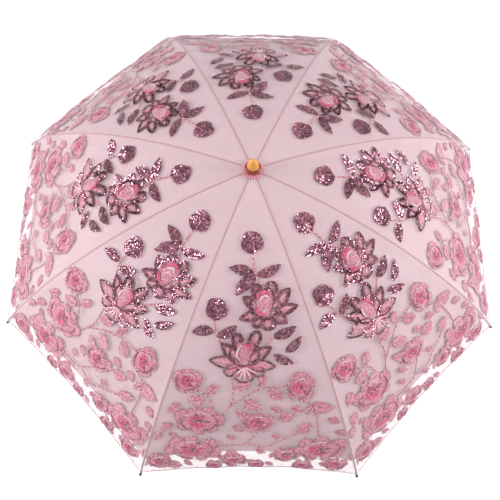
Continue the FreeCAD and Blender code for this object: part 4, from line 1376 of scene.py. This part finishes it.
@dataclass
class Crown:
    """What tops the cover: a gathered frill, a turned ring and an amber ball."""

    finishes: Finishes
    frill_pleats: int = 22
    frill_radius: float = 15.2
    frill_bore: float = 5.4
    collar_radius: float = 11.3
    ball_radius: float = 8.4

    def frill(self) -> bpy.types.Object:
        """The gathered satin frill under the ring."""
        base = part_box("canopy_ruffle")[0].z
        rings, steps = 7, self.frill_pleats * 8
        points, grain = [], []
        for i in range(rings + 1):
            t = i / rings
            radius = self.frill_bore + (self.frill_radius - self.frill_bore) * t
            for k in range(steps):
                turn = 2 * math.pi * k / steps
                fold = math.sin(self.frill_pleats * turn + 0.5 * math.sin(3 * turn))
                r = radius * (1 + 0.03 * t * math.sin(5 * turn + 1) + 0.035 * t * fold)
                lift = 1.5 + (0.3 + 0.95 * t) * fold + 0.7 * math.sin(math.pi * t) - 0.3 * t
                points.append((r * MM * math.cos(turn), r * MM * math.sin(turn), base + lift * MM))
                grain.append((turn * 0.012, radius * MM))
        faces = [(i * steps + k, (i + 1) * steps + k, (i + 1) * steps + (k + 1) % steps,
                  i * steps + (k + 1) % steps) for i in range(rings) for k in range(steps)]
        piece = mesh_piece("satin_frill", np.array(points), faces, np.array(grain))
        dress(piece, "root", "satin", self.finishes.frill, "canopy_ruffle")
        return piece

    def collar(self) -> bpy.types.Object:
        """The dark turned ring."""
        low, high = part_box("finial_collar")
        foot, top, r = low.z / MM, high.z / MM, self.collar_radius
        tall = top - foot
        profile = [(r * 0.86, foot), (r * 0.97, foot + tall * 0.12), (r, foot + tall * 0.3),
                   (r, foot + tall * 0.5), (r * 0.97, foot + tall * 0.66), (r * 0.88, foot + tall * 0.78),
                   (r * 0.8, foot + tall * 0.84), (r * 0.76, foot + tall * 0.95), (r * 0.72, top)]
        return dress(turned("turned_collar", profile), "root", "dark_wood", self.finishes.dark_wood,
                     "finial_collar")

    def ball(self) -> bpy.types.Object:
        """The amber ball on its short neck."""
        low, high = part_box("finial")
        foot, top, r = low.z / MM, high.z / MM, self.ball_radius
        profile = [(7.0, foot), (7.6, foot + 0.8), (8.1, foot + 1.8), (r, foot + 3.0)]
        for k in range(1, 15):
            rise = math.sin(math.pi / 2 * k / 14.3)
            profile.append((r * (1 - rise ** 1.8) ** 0.72, foot + 3.0 + (top - foot - 3.0) * rise))
        return dress(turned("amber_ball", profile), "root", "amber", self.finishes.amber, "finial")

    def build(self) -> None:
        """Make the frill, the ring and the ball."""
        for piece in (self.frill(), self.collar(), self.ball()):
            LOG.info("crown: %s", piece.name)


@dataclass
class Handle:
    """The turned handle: grip, brass ferrule and amber end."""

    finishes: Finishes
    grip_radius: float = 12.0
    end_radius: float = 10.5
    straight: float = 110.0

    def build(self) -> None:
        """Make the grip, the ferrule and the end."""
        lacquer, brass, amber = self.finishes.dark_wood, self.finishes.brass, self.finishes.amber
        low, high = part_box("handle_grip")
        foot, top, half = low.z / MM, high.z / MM, self.straight / 2
        r, e = self.grip_radius, self.end_radius
        rings = [(e - 0.4, foot)] + arc_rings((e, foot + 0.6), (r, -half), 0.5, 5)
        for z in (-48.0, -46.6, 46.6, 48.0):
            rings += [(r, z - 0.8), (r - 0.45, z - 0.3), (r - 0.45, z + 0.3), (r, z + 0.8)]
            if z == -46.6:
                rings += [(r, 0.0)]
        rings += arc_rings((r, half), (e, top - 0.6), 0.5, 5) + [(e - 0.4, top)]
        grip = dress(turned("turned_grip", rings), "root", "dark_wood", lacquer, "handle_grip")
        low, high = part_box("handle_ferrule")
        foot, top, r = low.z / MM, high.z / MM, max(high.x, high.y) / MM
        tall = top - foot
        rings = [(r - 0.5, foot), (r, foot + 0.5), (r, foot + 2.0), (r - 0.7, foot + 2.4),
                 (r - 0.7, foot + 3.2), (r - 0.2, foot + 3.6), (r - 0.6, foot + tall * 0.6),
                 (r - 1.9, foot + tall * 0.82), (r - 3.2, foot + tall * 0.94), (r - 4.4, top)]
        ferrule = dress(turned("brass_ferrule", rings), "root", "brass", brass, "handle_ferrule")
        low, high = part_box("handle_knob")
        foot, top, r = low.z / MM, high.z / MM, max(high.x, high.y) / MM
        tall = top - foot
        rings = [(1.2, foot)]
        for k in range(1, 15):
            angle = -math.pi / 2 + math.pi * 0.8 * k / 14
            rings.append((r * math.cos(angle), foot + tall * 0.47 * (1 + math.sin(angle))))
        rings += [(8.3, foot + tall * 0.87), (8.1, foot + tall * 0.91), (9.4, foot + tall * 0.94), (9.5, top)]
        end = dress(turned("amber_end", rings), "root", "amber", amber, "handle_knob")
        for piece in (grip, ferrule, end):
            LOG.info("handle: %s", piece.name)


@dataclass
class FrameWork:
    """The metal and moulded frame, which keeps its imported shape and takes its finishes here."""

    loaded: dict
    finishes: Finishes

    def material_for(self, node: str) -> bpy.types.Material:
        """The finish of a node of the frame."""
        f = self.finishes
        exact = {"shaft_tube": f.cream, "crown_washer": f.frill, "runner_sleeve": f.moulded,
                 "top_crown": f.moulded, "runner_crown": f.moulded, "handle_grip": f.dark_wood,
                 "handle_knob": f.amber, "handle_ferrule": f.brass, "finial": f.amber,
                 "finial_collar": f.dark_wood, "canopy_ruffle": f.frill}
        if node in exact:
            return exact[node]
        if node.startswith("rib_tip"):
            return f.black
        if node.startswith("stretcher_rivet"):
            return f.steel
        if node.startswith(("rib_", "stretcher_")):
            return f.enamel
        return f.satin if node.startswith("gore") else f.steel

    def build(self) -> None:
        """Give every carried-over node its finish."""
        for name, node in self.loaded["nodes"].items():
            material = self.material_for(name)
            if not node.material_slots:
                node.data.materials.append(material)
            for place in node.material_slots:
                place.material = material
        LOG.info("frame: %d nodes dressed", len(self.loaded["nodes"]))


# ---- Floor, lamps and camera ---------------------------------------------------------------------


@dataclass
class Studio:
    """A white floor, soft lamps and the camera."""

    target: tuple[float, float, float] = (0.0, 0.0, 0.2426)
    elevation: float = math.radians(70.85)
    azimuth: float = math.radians(-90 - 1.48)
    distance: float = 1.1619
    roll: float = math.radians(2.03)
    lens: float = 44.2

    def floor(self) -> None:
        """A wide white floor that keeps the parasol's shadow."""
        deselect()
        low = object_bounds()[0]
        bpy.ops.mesh.primitive_plane_add(size=14, location=(0, 0, low[2] - 0.0005))
        floor = bpy.context.object
        floor.name = "studio_floor"
        material, bench, shader = new_material("white_floor")
        noise = bench.add("ShaderNodeTexNoise")
        noise.inputs["Scale"].default_value = 2.0
        bench.feed(noise.inputs["Vector"], bench.map("Object"))
        bench.feed(shader.inputs["Base Color"],
                   bench.blend(noise.outputs["Fac"], (0.78, 0.78, 0.78, 1), (0.8, 0.8, 0.8, 1)))
        shader.inputs["Roughness"].default_value = 0.9
        shader.inputs["Specular IOR Level"].default_value = 0.0
        light = bench.add("ShaderNodeLightPath")
        mirrored = bench.sum("MAXIMUM", light.outputs["Is Glossy Ray"], light.outputs["Is Transmission Ray"])
        seen = bench.sum("MAXIMUM", light.outputs["Is Camera Ray"], mirrored)
        shader.inputs["Emission Color"].default_value = (1, 1, 1, 1)
        bench.feed(shader.inputs["Emission Strength"], bench.sum("MULTIPLY", seen, 0.34))
        floor.data.materials.append(material)
        floor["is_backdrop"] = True

    def lamp(self, name: str, place: tuple[float, float, float], aim: tuple[float, float, float],
             size: float, power: float) -> None:
        """Hang one square soft lamp."""
        data = bpy.data.lights.new(name, "AREA")
        data.size, data.energy = size, power
        lamp = bpy.data.objects.new(name, data)
        lamp.location = place
        lamp.rotation_euler = (Vector(aim) - Vector(place)).to_track_quat("-Z", "Y").to_euler()
        bpy.context.scene.collection.objects.link(lamp)

    def lamps(self) -> None:
        """Soft light from above and from both sides, and a pale surround."""
        self.lamp("lamp_above", (0.1, 0.5, 2.6), (0, 0, 0.4), 1.6, 8)
        self.lamp("lamp_left", (-2.2, -0.3, 1.3), (0, 0, 0.4), 0.6, 36)
        self.lamp("lamp_right", (2.2, -0.1, 1.3), (0, 0, 0.4), 0.6, 34)
        world = bpy.data.worlds.new("surround")
        bpy.context.scene.world = world
        world.use_nodes = True
        bench = Bench(world.node_tree)
        back = world.node_tree.nodes["Background"]
        back.inputs["Color"].default_value = (1, 1, 1, 1)
        light = bench.add("ShaderNodeLightPath")
        bench.feed(back.inputs["Strength"],
                   bench.sum("ADD", bench.sum("MULTIPLY", light.outputs["Is Camera Ray"], 0.45), 0.55))

    def camera(self) -> None:
        """Set the camera over the front of the dome."""
        data = bpy.data.cameras.new("camera")
        data.lens, data.sensor_width = self.lens, 36
        camera = bpy.data.objects.new("camera", data)
        bpy.context.scene.collection.objects.link(camera)
        flat = math.cos(self.elevation)
        away = Vector((*around((0, 0), flat, flat, self.azimuth), math.sin(self.elevation)))
        turn = (-away).to_track_quat("-Z", "Y").to_matrix().to_4x4()
        camera.matrix_world = (Matrix.Translation(Vector(self.target) + away * self.distance) @ turn
                               @ Matrix.Rotation(self.roll, 4, "Z"))
        bpy.context.scene.camera = camera

    def build(self) -> None:
        """Set up floor, lamps and camera."""
        self.camera()
        self.lamps()
        self.floor()
        bpy.context.scene.view_settings.view_transform = "Standard"
        LOG.info("studio ready")


def main() -> None:
    """Build the parasol piece by piece."""
    logging.basicConfig(level=logging.INFO, format="%(name)s: %(message)s")
    finishes = Finishes()
    FrameWork(frame, finishes).build()
    Cover(CoverForm.from_frame(frame), finishes).build()
    Crown(finishes).build()
    Handle(finishes).build()
    Studio().build()


if __name__ == "__main__":
    main()
